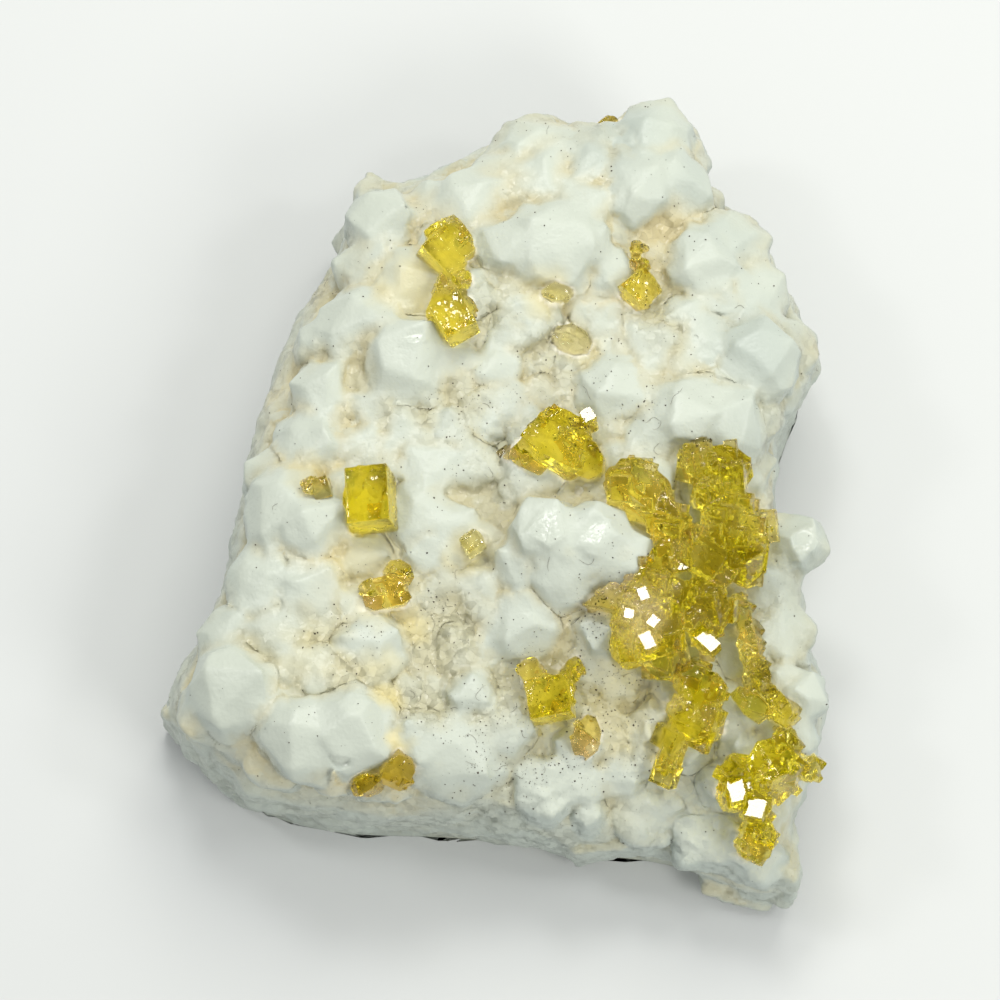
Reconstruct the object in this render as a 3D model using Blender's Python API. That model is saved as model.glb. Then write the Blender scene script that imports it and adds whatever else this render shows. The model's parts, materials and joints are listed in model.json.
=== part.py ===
"""A barite specimen: honey-yellow barite crystals grown on a slab of milky white calcite.

The slab lies on its broken back, crystals up. Work is in millimetres until a mesh is made, and meshes
are in metres. +Z is up and the origin is the centre of the whole specimen's footprint, at its lowest point.

The face is laid out as it is looked at: ACROSS is to the right and UP is towards the far edge, both in
millimetres from the face's centre, at right angles to a line of sight that leans LOOK_LEAN from the vertical.
"""

import itertools
import math
import random

import bmesh
import bpy
import numpy as np
from mathutils import Matrix, Quaternion, Vector

MM = 0.001  # metres in a millimetre
LOOK_LEAN = math.radians(18)  # how far the line of sight leans from straight down, towards the near edge
EYE_DISTANCE = 500.0  # how far along that line the eye is
FACE_LEVEL = 22.0  # height that the layout of the face is measured at
CRUST_LEVEL = 18.5  # height of the massive calcite under the crystals, mid slab
CROWDING = 1.16  # calcite crystals are this much wider than the room they show, so neighbours run together
LEAST_EDGE = 0.03  # a crystal's corners nearer than this are one corner
GAP = 0.3  # clearance between the calcite and each barite group
FOOT_CLEAR = 0.6  # the flat back lies this much lower than anything round it
BACK_SLACK = 0.2  # corners of the slab below this height are set level with its back
SLAB_THINNING = 0.49  # share of its triangles that the slab keeps when slivers are merged
LARGE_GROUP = 9  # a barite group of more crystals than this has its slivers merged as well
BARITE_THINNING = 0.70
SEED = 11

# The slab's widest line, station by station, clockwise from the far left corner: (across, up).
OUTLINE = [
    (-14.2, 31.0), (-9.6, 30.9), (-6.0, 32.5), (-2.6, 34.2), (0.4, 35.8), (3.5, 38.0), (7.0, 37.2),
    (10.5, 36.9), (13.5, 38.2), (16.0, 39.3), (18.4, 37.6), (19.6, 34.8), (19.8, 31.6), (22.6, 28.4),
    (25.2, 27.0), (26.6, 24.0), (28.2, 21.4), (29.2, 17.8), (31.2, 15.6), (30.8, 12.2), (28.6, 9.2),
    (27.0, 6.6), (27.0, 2.0), (27.2, -2.2), (28.6, -6.0), (30.2, -10.8), (30.4, -15.4), (31.4, -18.2),
    (32.6, -20.0), (32.0, -23.8), (30.8, -28.2), (28.8, -32.6), (28.9, -36.4), (28.5, -39.2), (25.6, -38.9),
    (21.6, -37.4), (18.2, -35.8), (14.4, -35.1), (10.0, -35.6), (6.0, -35.0), (2.0, -34.0), (-3.0, -33.0),
    (-8.0, -32.4), (-12.6, -32.4), (-17.0, -32.0), (-21.0, -31.0), (-25.2, -30.0), (-28.4, -27.0),
    (-31.6, -25.4), (-32.6, -22.4), (-31.8, -19.4), (-29.8, -15.6), (-28.0, -11.6), (-26.9, -8.0),
    (-26.2, -4.0), (-25.8, 0.5), (-24.8, 5.2), (-23.2, 10.0), (-21.2, 14.4), (-19.4, 18.4), (-17.2, 21.6),
    (-15.4, 25.2), (-14.6, 28.6),
]

# Broad relief of the crust: (across, up, radius, rise).
HILLS = [
    (7.0, -4.5, 8.0, 2.2), (4.0, 25.0, 12.0, 1.4), (9.0, 16.0, 8.0, -1.8), (-7.0, -14.5, 5.0, -2.2),
    (13.0, -27.0, 11.0, -3.2), (25.0, -36.0, 10.0, -6.0), (27.0, -12.0, 7.0, -2.2), (4.0, -19.0, 8.0, -1.4),
    (-20.0, -2.0, 8.0, 0.8), (20.0, 10.0, 8.0, 1.0),
]

# Calcite crystals of the face: (across, up, width, rise, lean across, lean up, spin in degrees).
CALCITES = [
    # far left corner and the left shoulder
    (-12.2, 28.6, 6.4, 3.0, -0.35, 0.30, 20), (-13.6, 23.2, 5.2, 2.4, -0.55, 0.05, 65),
    (-8.6, 21.8, 6.2, 3.4, -0.10, 0.05, 40), (-14.4, 17.6, 7.4, 3.6, -0.35, 0.00, 10),
    (-9.3, 13.8, 7.2, 4.6, -0.05, -0.15, 90), (-18.1, 11.0, 5.0, 3.0, -0.45, -0.15, 75),
    (-3.0, 29.8, 6.6, 3.4, -0.05, 0.20, 55), (-6.8, 29.4, 5.0, 2.4, -0.10, 0.15, 20),
    (-19.6, 5.6, 6.4, 2.4, -0.55, 0.05, 35),
    (-5.2, 14.6, 4.4, 2.4, 0.10, 0.10, 15), (-7.0, 10.6, 2.2, 2.2, 0.00, 0.00, 50),
    (-4.4, 11.6, 3.4, 1.8, 0.05, 0.05, 80), (-0.3, 13.4, 3.6, 2.6, 0.05, 0.10, 25),
    # far edge, from left to right
    (3.0, 36.0, 6.4, 3.0, -0.20, 0.55, 30), (-0.2, 32.4, 6.0, 2.8, -0.10, 0.35, 75),
    (9.4, 35.6, 7.0, 3.2, 0.05, 0.45, 10), (15.8, 37.2, 6.0, 4.6, 0.15, 0.50, 100),
    (12.6, 35.6, 5.2, 2.8, 0.00, 0.45, 50), (4.0, 32.4, 6.6, 2.8, -0.05, 0.20, 85),
    (9.0, 33.0, 4.2, 3.4, 0.00, 0.20, 15), (13.6, 31.2, 6.2, 4.4, -0.10, 0.15, 60),
    (17.0, 31.6, 6.4, 4.8, 0.20, 0.15, 5), (8.5, 29.4, 5.0, 3.0, -0.05, 0.10, 45),
    (18.8, 34.6, 4.6, 2.2, 0.50, 0.30, 90), (20.6, 30.0, 4.8, 1.8, 0.60, 0.25, 70),
    # the large crystals of the upper half
    (4.8, 25.6, 8.2, 4.4, -0.05, 0.00, 25), (8.8, 25.6, 4.0, 4.0, 0.20, 0.05, 80),
    (0.9, 25.4, 4.6, 3.8, -0.25, 0.00, 55), (11.4, 22.5, 3.8, 3.2, 0.05, -0.05, 35),
    (23.5, 26.0, 6.0, 4.0, 0.35, 0.25, 40), (20.0, 23.8, 6.4, 4.4, 0.05, 0.05, 15),
    (26.0, 21.0, 5.2, 3.4, 0.40, 0.10, 70), (21.8, 20.0, 5.0, 2.6, 0.10, 0.00, 95),
    (18.6, 18.4, 2.8, 3.0, -0.05, -0.10, 90), (25.0, 18.8, 5.6, 3.0, 0.30, 0.00, 20),
    (26.2, 14.2, 6.6, 5.0, 0.25, -0.05, 50), (29.4, 15.4, 4.4, 2.4, 0.65, 0.10, 10),
    (28.8, 11.6, 4.6, 2.2, 0.70, -0.10, 60), (26.0, 9.0, 5.2, 3.2, 0.45, -0.05, 85),
    (18.2, 8.6, 6.6, 4.2, -0.10, 0.05, 30), (22.4, 7.2, 6.6, 4.4, 0.20, -0.05, 75),
    (11.2, 11.2, 6.0, 4.0, 0.00, 0.10, 0), (15.4, 15.0, 4.8, 2.8, 0.00, 0.05, 45),
    (20.2, 15.6, 5.0, 2.6, 0.05, 0.05, 15), (3.2, 18.6, 4.2, 3.0, -0.05, 0.00, 65),
    (1.4, 16.4, 3.4, 2.4, -0.10, 0.00, 20), (10.6, 17.6, 3.2, 2.6, 0.05, 0.00, 85),
    (6.6, 11.6, 2.4, 2.0, 0.00, 0.00, 40), (15.2, 5.8, 4.4, 2.8, 0.05, -0.10, 10),
    (26.8, 3.6, 3.8, 2.6, 0.60, -0.10, 55), (-1.8, 8.4, 4.0, 2.0, 0.00, 0.00, 70),
    (0.8, 21.2, 3.0, 1.8, -0.10, 0.10, 5), (-2.6, 26.4, 4.2, 2.2, 0.00, 0.10, 30),
    (11.6, 14.6, 4.2, 2.4, 0.00, 0.00, 55), (7.6, 13.4, 3.8, 2.2, 0.05, 0.00, 25),
    (8.6, 19.8, 3.8, 2.0, 0.00, 0.05, 70), (14.2, 18.2, 3.6, 2.0, 0.00, 0.00, 15),
    (14.6, 10.4, 3.8, 2.4, 0.00, -0.05, 40), (-9.6, 6.6, 4.6, 2.2, -0.05, 0.00, 10),
    (-12.8, 9.2, 4.2, 2.2, -0.10, 0.00, 60), (0.6, 9.6, 3.4, 2.2, 0.00, 0.00, 85),
    # left edge, downwards
    (-22.4, -1.4, 8.0, 4.4, -0.35, -0.05, 15), (-18.4, -2.2, 6.0, 4.4, 0.10, -0.10, 60),
    (-24.0, -8.0, 6.0, 3.4, -0.40, -0.05, 35), (-18.9, -8.6, 4.6, 3.4, 0.00, -0.10, 80),
    (-13.4, -5.6, 3.2, 2.4, 0.05, -0.05, 25), (-27.6, -13.8, 5.0, 2.6, -0.50, -0.05, 70),
    (-27.2, -19.0, 7.8, 4.6, -0.30, -0.10, 45), (-31.0, -21.8, 3.8, 2.6, -0.70, -0.05, 10),
    (-22.0, -13.4, 5.4, 2.6, -0.20, -0.10, 85), (-20.4, -16.4, 5.0, 2.6, -0.10, -0.10, 30),
    # near left corner
    (-27.4, -25.2, 9.0, 3.4, -0.35, -0.75, 60), (-19.8, -24.0, 6.8, 5.4, -0.05, -0.45, 30),
    (-14.6, -23.4, 7.0, 5.6, 0.05, -0.35, 0), (-24.4, -28.4, 4.6, 2.8, -0.15, -0.80, 90),
    (-16.4, -27.6, 3.2, 3.2, 0.00, -0.70, 45), (-17.4, -17.4, 4.2, 3.0, 0.00, -0.10, 15),
    (-13.0, -15.2, 5.4, 4.4, 0.00, -0.20, 65), (-9.0, -12.4, 2.4, 2.6, 0.05, -0.10, 20),
    (-8.4, -15.6, 3.4, 2.6, 0.10, -0.10, 75), (-7.8, -24.2, 4.6, 3.8, 0.15, -0.30, 40),
    (-5.4, -28.0, 6.8, 4.0, 0.05, -0.60, 5), (-12.0, -29.0, 5.0, 2.6, 0.00, -0.85, 80),
    # the middle
    (-8.0, -1.6, 5.4, 3.0, 0.00, 0.00, 25), (-4.4, -3.4, 5.2, 2.8, 0.05, 0.00, 70),
    (-7.0, 3.2, 4.8, 2.6, 0.00, 0.05, 50), (-3.0, 3.4, 4.2, 2.2, 0.00, 0.05, 10),
    (-14.6, 4.6, 5.2, 2.0, -0.15, 0.00, 85), (-3.4, -15.4, 4.8, 3.0, 0.00, -0.10, 35),
    (-2.8, -19.3, 3.4, 4.0, 0.00, -0.15, 0), (4.6, -3.2, 6.4, 5.4, -0.05, 0.05, 90),
    (9.6, -3.6, 6.4, 5.6, 0.05, 0.00, 20), (1.6, -6.4, 4.4, 3.8, -0.10, -0.15, 60),
    (6.6, -7.0, 5.6, 4.6, -0.05, -0.25, 35), (12.2, -5.8, 6.0, 5.2, 0.10, -0.15, 75),
    (2.0, -12.4, 6.8, 3.8, -0.05, -0.15, 15), (9.8, -13.6, 3.6, 4.0, 0.00, -0.15, 50),
    (-1.6, -9.2, 4.6, 2.6, 0.00, -0.05, 80), (-5.6, -8.6, 4.4, 2.2, 0.00, -0.05, 5),
    (8.8, -16.8, 3.2, 2.4, 0.00, -0.05, 40), (11.8, -18.4, 3.0, 2.2, 0.05, -0.05, 65),
    (0.4, -22.6, 5.4, 2.8, 0.00, -0.15, 20), (-2.6, -24.2, 4.4, 2.6, 0.05, -0.20, 85),
    (16.8, -19.2, 1.8, 2.2, 0.05, 0.00, 45), (10.4, -22.2, 5.4, 1.6, 0.05, -0.05, 10),
    (14.2, 1.4, 5.0, 2.6, 0.05, 0.00, 55), (3.0, 2.2, 5.2, 2.4, 0.00, 0.00, 30),
    # right edge, downwards
    (29.6, -4.2, 4.6, 6.2, 1.20, -0.30, 20), (28.2, -8.4, 4.8, 2.8, 0.60, -0.10, 75),
    (28.8, -13.6, 4.8, 2.6, 0.55, -0.05, 40), (31.0, -19.4, 3.6, 2.6, 0.85, 0.10, 5),
    (24.2, -15.0, 3.6, 1.6, 0.15, 0.00, 60), (29.8, -24.4, 4.6, 2.2, 0.55, -0.10, 85),
    (22.0, -21.0, 4.4, 1.6, 0.10, -0.05, 25), (27.0, -37.6, 3.8, 3.2, 0.30, -0.45, 50),
    (9.0, -31.4, 2.0, 1.8, 0.00, -0.20, 15), (4.4, -28.6, 5.0, 2.2, 0.00, -0.25, 70),
    (15.0, -31.6, 5.2, 1.8, 0.05, -0.30, 35), (21.0, -33.6, 5.0, 1.8, 0.10, -0.30, 80),
]

# Small calcite crystals scattered between the large ones.
FILL_DARTS = 2500  # places tried
FILL_COUNT = 56  # crystals placed at most
FILL_WIDTHS = (2.4, 4.0)

# Barite groups, each one solid of crystals grown together. A crystal is
# (across, up, lift above the crust, length, breadth, thickness, heading, tilt, roll, corner cut).
BARITES = {
    "barite_upper_left": [
        (-5.0, 25.8, 3.4, 6.2, 5.2, 3.2, 80, 14, -12, 1.00),
        (-4.6, 23.2, 2.6, 3.4, 2.6, 2.6, 40, -20, 15, 0.80),
        (-3.9, 22.2, 3.0, 2.4, 1.8, 2.0, 15, 25, 20, 0.75),
        (-5.4, 21.2, 2.6, 4.0, 3.4, 2.8, 70, -10, 20, 0.80),
        (-4.9, 18.8, 3.2, 5.6, 4.6, 3.4, 25, 12, -18, 0.92),
    ],
    "barite_upper_right": [
        (13.9, 21.1, 2.8, 5.0, 4.6, 3.0, 0, 20, 8, 0.98),
        (13.6, 24.9, 2.8, 2.6, 1.5, 1.8, 85, 10, 0, 0.80),
        (13.8, 23.0, 2.6, 2.8, 2.2, 2.2, 95, 25, 10, 0.90),
    ],
    "barite_pale_blade": [
        (7.2, 15.8, 2.4, 4.4, 3.2, 1.8, -25, 12, -15, 0.92),
    ],
    "barite_pale_chip": [
        (5.7, 20.7, 2.9, 3.4, 2.2, 2.0, 10, 25, 10, 0.95),
    ],
    "barite_far_edge": [
        (10.7, 37.3, 0.2, 3.0, 2.0, 2.2, 10, 30, 0, 0.85),
    ],
    "barite_centre": [
        (5.9, 5.4, 3.0, 8.0, 6.6, 4.6, -28, 8, -10, 0.80),
        (3.6, 4.9, 2.6, 6.6, 4.6, 4.0, 8, -8, 22, 1.00),
        (8.8, 4.0, 2.6, 4.6, 3.8, 3.6, -60, 10, 14, 0.80),
        (8.3, 7.4, 3.2, 3.0, 2.4, 3.0, 30, 20, 25, 0.80),
        (5.0, 8.0, 2.8, 2.6, 2.2, 2.8, 60, 0, 20, 0.80),
    ],
    "barite_left": [
        (-13.2, 0.4, 3.2, 7.0, 5.0, 4.0, 78, 10, -14, 0.78),
        (-14.0, -1.4, 2.6, 4.2, 2.8, 2.8, 65, -15, 10, 0.95),
    ],
    "barite_left_chip": [
        (-18.9, 1.1, 3.2, 2.8, 2.0, 2.6, 60, 15, 10, 0.85),
    ],
    "barite_lower_left": [
        (-11.5, -9.4, 3.0, 5.6, 4.0, 3.0, 8, -12, 10, 0.82),
        (-10.2, -7.4, 2.6, 3.4, 2.6, 2.4, -30, 15, 0, 0.85),
        (-12.8, -9.9, 2.6, 3.0, 2.4, 2.2, 40, -10, -15, 0.90),
    ],
    "barite_mid_chip": [
        (-2.8, -4.1, 3.0, 2.6, 2.2, 1.8, 35, 15, 15, 0.90),
    ],
    "barite_foot": [
        (-10.2, -27.0, 3.6, 4.4, 3.6, 3.0, 60, -35, 15, 0.82),
        (-13.2, -28.5, 3.8, 4.0, 2.2, 2.4, 20, -30, 0, 0.85),
    ],
    "barite_horned": [
        (5.0, -19.8, 3.4, 5.8, 4.8, 4.2, 75, -10, 12, 0.80),
        (3.2, -17.4, 3.0, 3.8, 2.2, 2.6, 100, 15, -10, 0.95),
        (7.0, -17.4, 3.0, 3.8, 2.0, 2.4, 70, 15, 15, 0.95),
    ],
    "barite_drop": [
        (8.5, -23.9, 2.4, 5.0, 3.2, 2.6, 75, -8, 10, 0.90),
    ],
    "barite_main": [
        # upper left arm
        (14.0, 0.8, 3.8, 8.2, 5.0, 4.4, -38, 8, -12, 0.82),
        (12.4, 1.9, 3.6, 4.2, 3.6, 3.6, 10, -12, 10, 0.82),
        (16.2, -1.6, 3.8, 5.6, 4.0, 4.0, -55, -10, 10, 0.85),
        (17.6, -2.8, 5.0, 4.8, 1.8, 2.4, 40, 20, 0, 0.80),
        (18.3, -3.7, 4.8, 4.8, 1.6, 2.2, 42, 15, 20, 0.80),
        # upper right arm
        (19.9, 4.1, 3.8, 4.0, 3.2, 3.4, 25, 10, 10, 0.80),
        (22.6, 2.8, 4.4, 6.2, 4.4, 4.0, -35, 12, -15, 0.84),
        (21.2, 0.4, 4.2, 4.6, 4.2, 4.0, 70, -12, 15, 0.82),
        (23.4, -2.4, 4.8, 7.2, 5.6, 5.0, -62, 10, 12, 0.82),
        (25.6, -2.8, 4.0, 3.4, 2.8, 3.2, -20, 25, 0, 0.85),
        (24.4, -5.6, 4.6, 5.6, 4.6, 4.4, 28, 10, -18, 0.95),
        (20.6, -5.6, 4.6, 5.2, 4.2, 4.2, 55, -15, 12, 0.85),
        (22.4, -7.6, 4.8, 4.4, 2.0, 2.8, 62, 10, 20, 0.85),
        # the bridge between the arms
        (17.0, -5.6, 4.4, 5.2, 4.4, 4.4, 20, 15, 15, 0.85),
        (14.4, -8.0, 4.0, 5.6, 4.4, 4.4, 35, -10, -12, 0.85),
        # the broad lower body
        (11.2, -9.9, 3.4, 6.6, 3.0, 3.2, 12, 8, 10, 0.98),
        (14.6, -12.6, 5.0, 8.4, 6.8, 5.6, 62, -10, 14, 0.90),
        (13.2, -14.2, 4.0, 5.0, 4.0, 4.2, 15, 14, -12, 0.85),
        (15.8, -15.4, 4.4, 5.4, 4.0, 4.4, -70, -14, 10, 0.98),
        (17.6, -9.6, 5.0, 5.0, 4.0, 4.2, -25, 12, 16, 0.84),
        (20.4, -10.8, 4.6, 6.6, 5.6, 5.2, -40, -12, 8, 0.82),
        (20.2, -13.6, 4.2, 3.6, 2.4, 3.4, -45, -30, 0, 0.80),
    ],
    "barite_lower": [
        (20.2, -18.7, 3.0, 6.4, 4.2, 3.6, -20, -6, 10, 0.82),
        (20.0, -22.0, 3.2, 5.6, 4.6, 4.0, 70, -10, -12, 0.84),
        (17.4, -24.4, 2.8, 8.0, 3.0, 3.0, 68, -6, 14, 0.84),
        (18.4, -20.8, 3.4, 3.6, 3.2, 3.2, 30, 10, 12, 0.85),
    ],
    "barite_edge": [
        # a thin ribbon down the right side
        (24.2, -11.4, 2.8, 5.2, 2.0, 2.2, -78, 8, 0, 0.88),
        (25.0, -14.8, 2.8, 5.2, 2.4, 2.2, -82, 6, 15, 0.86),
        (25.7, -17.6, 3.0, 4.0, 2.6, 2.6, -70, -6, -12, 0.88),
        (26.0, -20.0, 3.2, 5.0, 3.6, 3.4, -15, 8, 10, 0.84),
        (28.0, -21.0, 3.0, 3.8, 3.0, 3.2, -50, -10, 16, 0.84),
        # the corner group that it runs into
        (28.6, -24.2, 3.4, 3.8, 2.6, 2.8, -70, 10, 0, 0.86),
        (27.4, -26.8, 4.2, 6.8, 5.4, 4.8, 20, 12, -14, 0.84),
        (30.6, -26.8, 3.6, 3.2, 2.6, 2.8, 15, 20, 20, 0.95),
        (23.6, -28.2, 3.8, 7.0, 3.8, 4.0, 84, -6, 14, 0.80),
        (25.6, -30.6, 4.2, 4.2, 3.4, 3.8, 50, -18, 8, 0.82),
        (25.6, -34.0, 3.8, 5.2, 4.0, 3.6, 70, -14, 10, 0.84),
    ],
}

CALCITE_COLOUR = (0.86, 0.88, 0.85, 1.0)
HONEY_COLOUR = (0.72, 0.50, 0.05, 1.0)
PALE_COLOUR = (0.85, 0.78, 0.42, 1.0)
BROWN_COLOUR = (0.42, 0.27, 0.06, 1.0)
SHADES = {
    "barite_pale_blade": PALE_COLOUR, "barite_pale_chip": PALE_COLOUR, "barite_lower_left": PALE_COLOUR,
    "barite_mid_chip": PALE_COLOUR, "barite_drop": PALE_COLOUR, "barite_left_chip": PALE_COLOUR,
    "barite_foot": BROWN_COLOUR, "barite_far_edge": BROWN_COLOUR,
}


# ---- layout ----

def place(across, up, height):
    """The point (x, y, z) at this height that the eye sees at (across, up) on the face."""
    drop = FACE_LEVEL - height
    y = (up + drop * math.sin(LOOK_LEAN)) / math.cos(LOOK_LEAN)
    spread = 1 + (drop * math.cos(LOOK_LEAN) + y * math.sin(LOOK_LEAN)) / EYE_DISTANCE
    y = (up * spread + drop * math.sin(LOOK_LEAN)) / math.cos(LOOK_LEAN)
    return np.array([across * spread, y, height])


def rim_height(up):
    """The widest line climbs from low at the near edge to high at the far edge."""
    return 9.5 + 4.0 * up / 39.0


RIM = np.array([place(a, u, rim_height(u)) for a, u in OUTLINE])
RIM_TURNS = np.arctan2(RIM[:, 1], RIM[:, 0])
RIM_REACHES = np.hypot(RIM[:, 0], RIM[:, 1])


def reach_towards(x, y):
    """Distance from the middle to the widest line, in the direction of (x, y)."""
    order = np.argsort(RIM_TURNS)
    turns = np.concatenate([RIM_TURNS[order] - 2 * np.pi, RIM_TURNS[order], RIM_TURNS[order] + 2 * np.pi])
    return np.interp(np.arctan2(y, x), turns, np.tile(RIM_REACHES[order], 3))


def crust(x, y):
    """Height of the massive calcite: level in the middle, rounded off to the edges, with HILLS on it."""
    share = np.hypot(x, y) / reach_towards(x, y)
    height = CRUST_LEVEL - 4.5 * share**6
    for across, up, radius, rise in HILLS:
        hill = place(across, up, CRUST_LEVEL)
        height = height + rise * np.exp(-((x - hill[0]) ** 2 + (y - hill[1]) ** 2) / radius**2)
    return height


def stand(across, up, lift):
    """The point lift above the crust that is seen at (across, up)."""
    point = place(across, up, CRUST_LEVEL + lift)
    for _ in range(3):
        point = place(across, up, crust(point[0], point[1]) + lift)
    return point


# ---- convex crystals from their faces ----

def crystal_mesh(normals, reaches, turn, centre):
    """Corners and faces of the convex solid whose face planes lie at these reaches along these normals.

    Every three planes meet in a point, and the points that lie behind all planes are the corners. Corners
    nearer than LEAST_EDGE are made one, on all the planes of both. Each plane's own corners, sorted round
    its normal, are its face.
    """
    triples = np.array(list(itertools.combinations(range(len(normals)), 3)))
    triples = triples[np.abs(np.linalg.det(normals[triples])) > 1e-4]
    points = np.linalg.solve(normals[triples], reaches[triples][..., None])[..., 0]
    points = points[(points @ normals.T <= reaches + 1e-6).all(axis=1)]
    corners, planes = [], []
    for point in points:
        on = set(np.flatnonzero(np.abs(normals @ point - reaches) < 1e-5))
        near = [i for i, corner in enumerate(corners) if np.linalg.norm(corner - point) < LEAST_EDGE]
        if near:
            planes[near[0]] |= on
        else:
            corners.append(point)
            planes.append(on)
    corners = np.array(corners)
    faces = []
    for plane, normal in enumerate(normals):
        on_face = np.array([i for i, on in enumerate(planes) if plane in on])
        if len(on_face) < 3:
            continue
        middle = corners[on_face].mean(axis=0)
        right = corners[on_face[0]] - middle
        right -= normal * (right @ normal)
        ahead = np.cross(normal, right)
        spokes = corners[on_face] - middle
        faces.append(on_face[np.argsort(np.arctan2(spokes @ ahead, spokes @ right))])
    placed = corners @ np.array(turn.to_3x3()).T + centre
    return placed, faces


def mesh_object(name, corners, faces):
    """An object whose mesh holds these corners, given in millimetres."""
    mesh = bpy.data.meshes.new(name)
    mesh.from_pydata((corners * MM).tolist(), [], [list(map(int, face)) for face in faces])
    mesh.update()
    made = bpy.data.objects.new(name, mesh)
    bpy.context.scene.collection.objects.link(made)
    return made


def unit(vectors):
    return vectors / np.linalg.norm(vectors, axis=1, keepdims=True)


def own_chance(row):
    """A seed from the crystal's place, so that each keeps its shape when another one is moved."""
    return random.Random(round(SEED + row[0] * 7919 + row[1] * 104729))


def calcite_crystal(row, grow):
    """Blunt three-sided calcite: a prism under a cap of three broad faces, its tip cut off flat.

    A large crystal has two more narrow cap faces, a small one has five prism faces for six.
    """
    across, up, width, rise, lean_across, lean_up, spin = row
    chance = own_chance(row)
    half = width * CROWDING / 2
    large = width > 5.5
    count = 6 if width > 4 else 5
    around = np.radians([spin + side * 360 / count + chance.uniform(-11, 11) for side in range(count)])
    sides = np.column_stack([np.cos(around), np.sin(around), [chance.uniform(-0.05, 0.16) for _ in around]])
    side_reaches = half * np.array([chance.uniform(0.84, 1.04) for _ in around])
    cap_turns = np.radians([spin + turn + chance.uniform(-14, 14) for turn in (30, 150, 270, 90, 210)])
    slopes = np.radians([slope + chance.uniform(-8, 8) for slope in (34, 34, 34, 48, 48)])
    flats = half * np.array([chance.uniform(0.22, 0.50) for _ in range(3)] + [0.55, 0.60])
    flat, steep = np.cos(slopes), np.sin(slopes)
    caps = np.column_stack([steep * np.cos(cap_turns), steep * np.sin(cap_turns), flat])
    cap_reaches = steep * flats + flat * rise
    if not large:
        caps, cap_reaches = caps[:3], cap_reaches[:3]
    top = np.array([[chance.uniform(-0.14, 0.14), chance.uniform(-0.14, 0.14), 1.0]])
    normals = unit(np.vstack([sides, caps, top, [[0, 0, -1.0]]]))
    reaches = np.concatenate([side_reaches, cap_reaches, [rise * 0.98], [half + 1.2]])
    axis = Vector((lean_across, lean_up, 1)).normalized()
    turn = Vector((0, 0, 1)).rotation_difference(axis).to_matrix()
    foot = stand(across, up, rise * 0.5) - np.array(axis) * rise * 0.5
    if math.hypot(lean_across, lean_up) < 1:  # one that leans further reaches out past the widest line
        out = math.hypot(foot[0], foot[1])
        lean_out = max(0, (axis[0] * foot[0] + axis[1] * foot[1]) / out)
        room = reach_towards(foot[0], foot[1]) - 0.3 - half * 0.95 * axis[2] - rise * 0.9 * lean_out
        foot[:2] *= min(1, room / out)
    return crystal_mesh(normals, reaches + grow, turn, foot)


def cleavage_block(point, outward, size, chance, grow):
    """A block of massive calcite broken along its three cleavages, 75 degrees apart, sunk in the broken side.

    One cleavage faces roughly outwards. What lies past the point is cut off, and the foot is cut off level,
    FOOT_CLEAR above the surface that the slab's flat back rests on.
    """
    polar = math.radians(44.6)
    three = np.array(
        [
            [math.sin(polar) * math.cos(turn), math.sin(polar) * math.sin(turn), math.cos(polar)]
            for turn in np.radians([0, 120, 240])
        ]
    )
    reaches = size * np.array([chance.uniform(0.40, 0.46)] + [chance.uniform(0.36, 0.56) for _ in range(5)])
    facing = (outward + Vector([chance.uniform(-0.35, 0.35) for _ in range(3)])).normalized()
    turn = Quaternion(facing, chance.uniform(0, 2 * math.pi)) @ Vector(three[0]).rotation_difference(facing)
    turn = turn.to_matrix()
    centre = point - np.array(outward) * size * 0.50
    upright = np.array(turn)
    normals = np.vstack([three, -three, np.array(outward) @ upright, -upright[2]])
    cuts = [size * 0.50 + 0.1, centre[2] - FOOT_CLEAR]
    return crystal_mesh(normals, np.concatenate([reaches, cuts]) + grow, turn, centre)


def barite_crystal(row):
    """Barite: a rhombic block, its corners cut back by corner cut, its ends bevelled by domes."""
    across, up, lift, length, breadth, thickness, heading, tilt, roll, cut = row
    chance = own_chance(row)
    half = np.array([length, breadth, thickness]) / 2
    wedge = 1.27 if cut < 0.97 else 1.0  # how far a rhombus face lies outside the box's own corner rule
    rhombus = [[s / half[0], t / half[1], 0] for s in (1, -1) for t in (1, -1)]
    domes = [[s / half[0], 0, t / half[2]] for s in (1, -1) for t in (1, -1)]
    box = [[1, 0, 0], [-1, 0, 0], [0, 1, 0], [0, -1, 0], [0, 0, 1], [0, 0, -1]]
    slants = np.array(rhombus + domes, float)
    slant_reaches = np.array([wedge] * 4 + [1.42] * 4) / np.linalg.norm(slants, axis=1)
    box_reaches = np.repeat(half, 2) * [cut, cut, cut, cut, 1, 1.25]
    normals = unit(np.vstack([unit(slants), box]))
    normals = unit(normals + np.array([[chance.uniform(-0.04, 0.04) for _ in range(3)] for _ in normals]))
    reaches = np.concatenate([slant_reaches, box_reaches])
    reaches *= np.array([chance.uniform(0.92, 1.06) for _ in reaches])
    turn = (
        Matrix.Rotation(math.radians(heading), 3, "Z")
        @ Matrix.Rotation(math.radians(tilt), 3, "Y")
        @ Matrix.Rotation(math.radians(roll), 3, "X")
    )
    return crystal_mesh(normals, reaches, turn, stand(across, up, lift))


# ---- the calcite slab ----

TOP_RINGS = (0.30, 0.58, 0.80, 0.94)  # shares of the widest line's reach
TOP_ROUGH = 0.5
# Rings of the side: share of the widest line's reach, height from it as a share of the way up or down, rough.
SIDE_RINGS = ((0.985, 0.55, 0.5), (1.0, 0.0, 0.5), (0.965, -0.42, 1.1), (0.90, -0.80, 1.1))
BACK_SHARE, BACK_ROUGH = 0.80, 1.2
CRUST_DEPTH = 0.6  # the massive calcite's top lies this much lower than the crust that the crystals stand on


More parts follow.
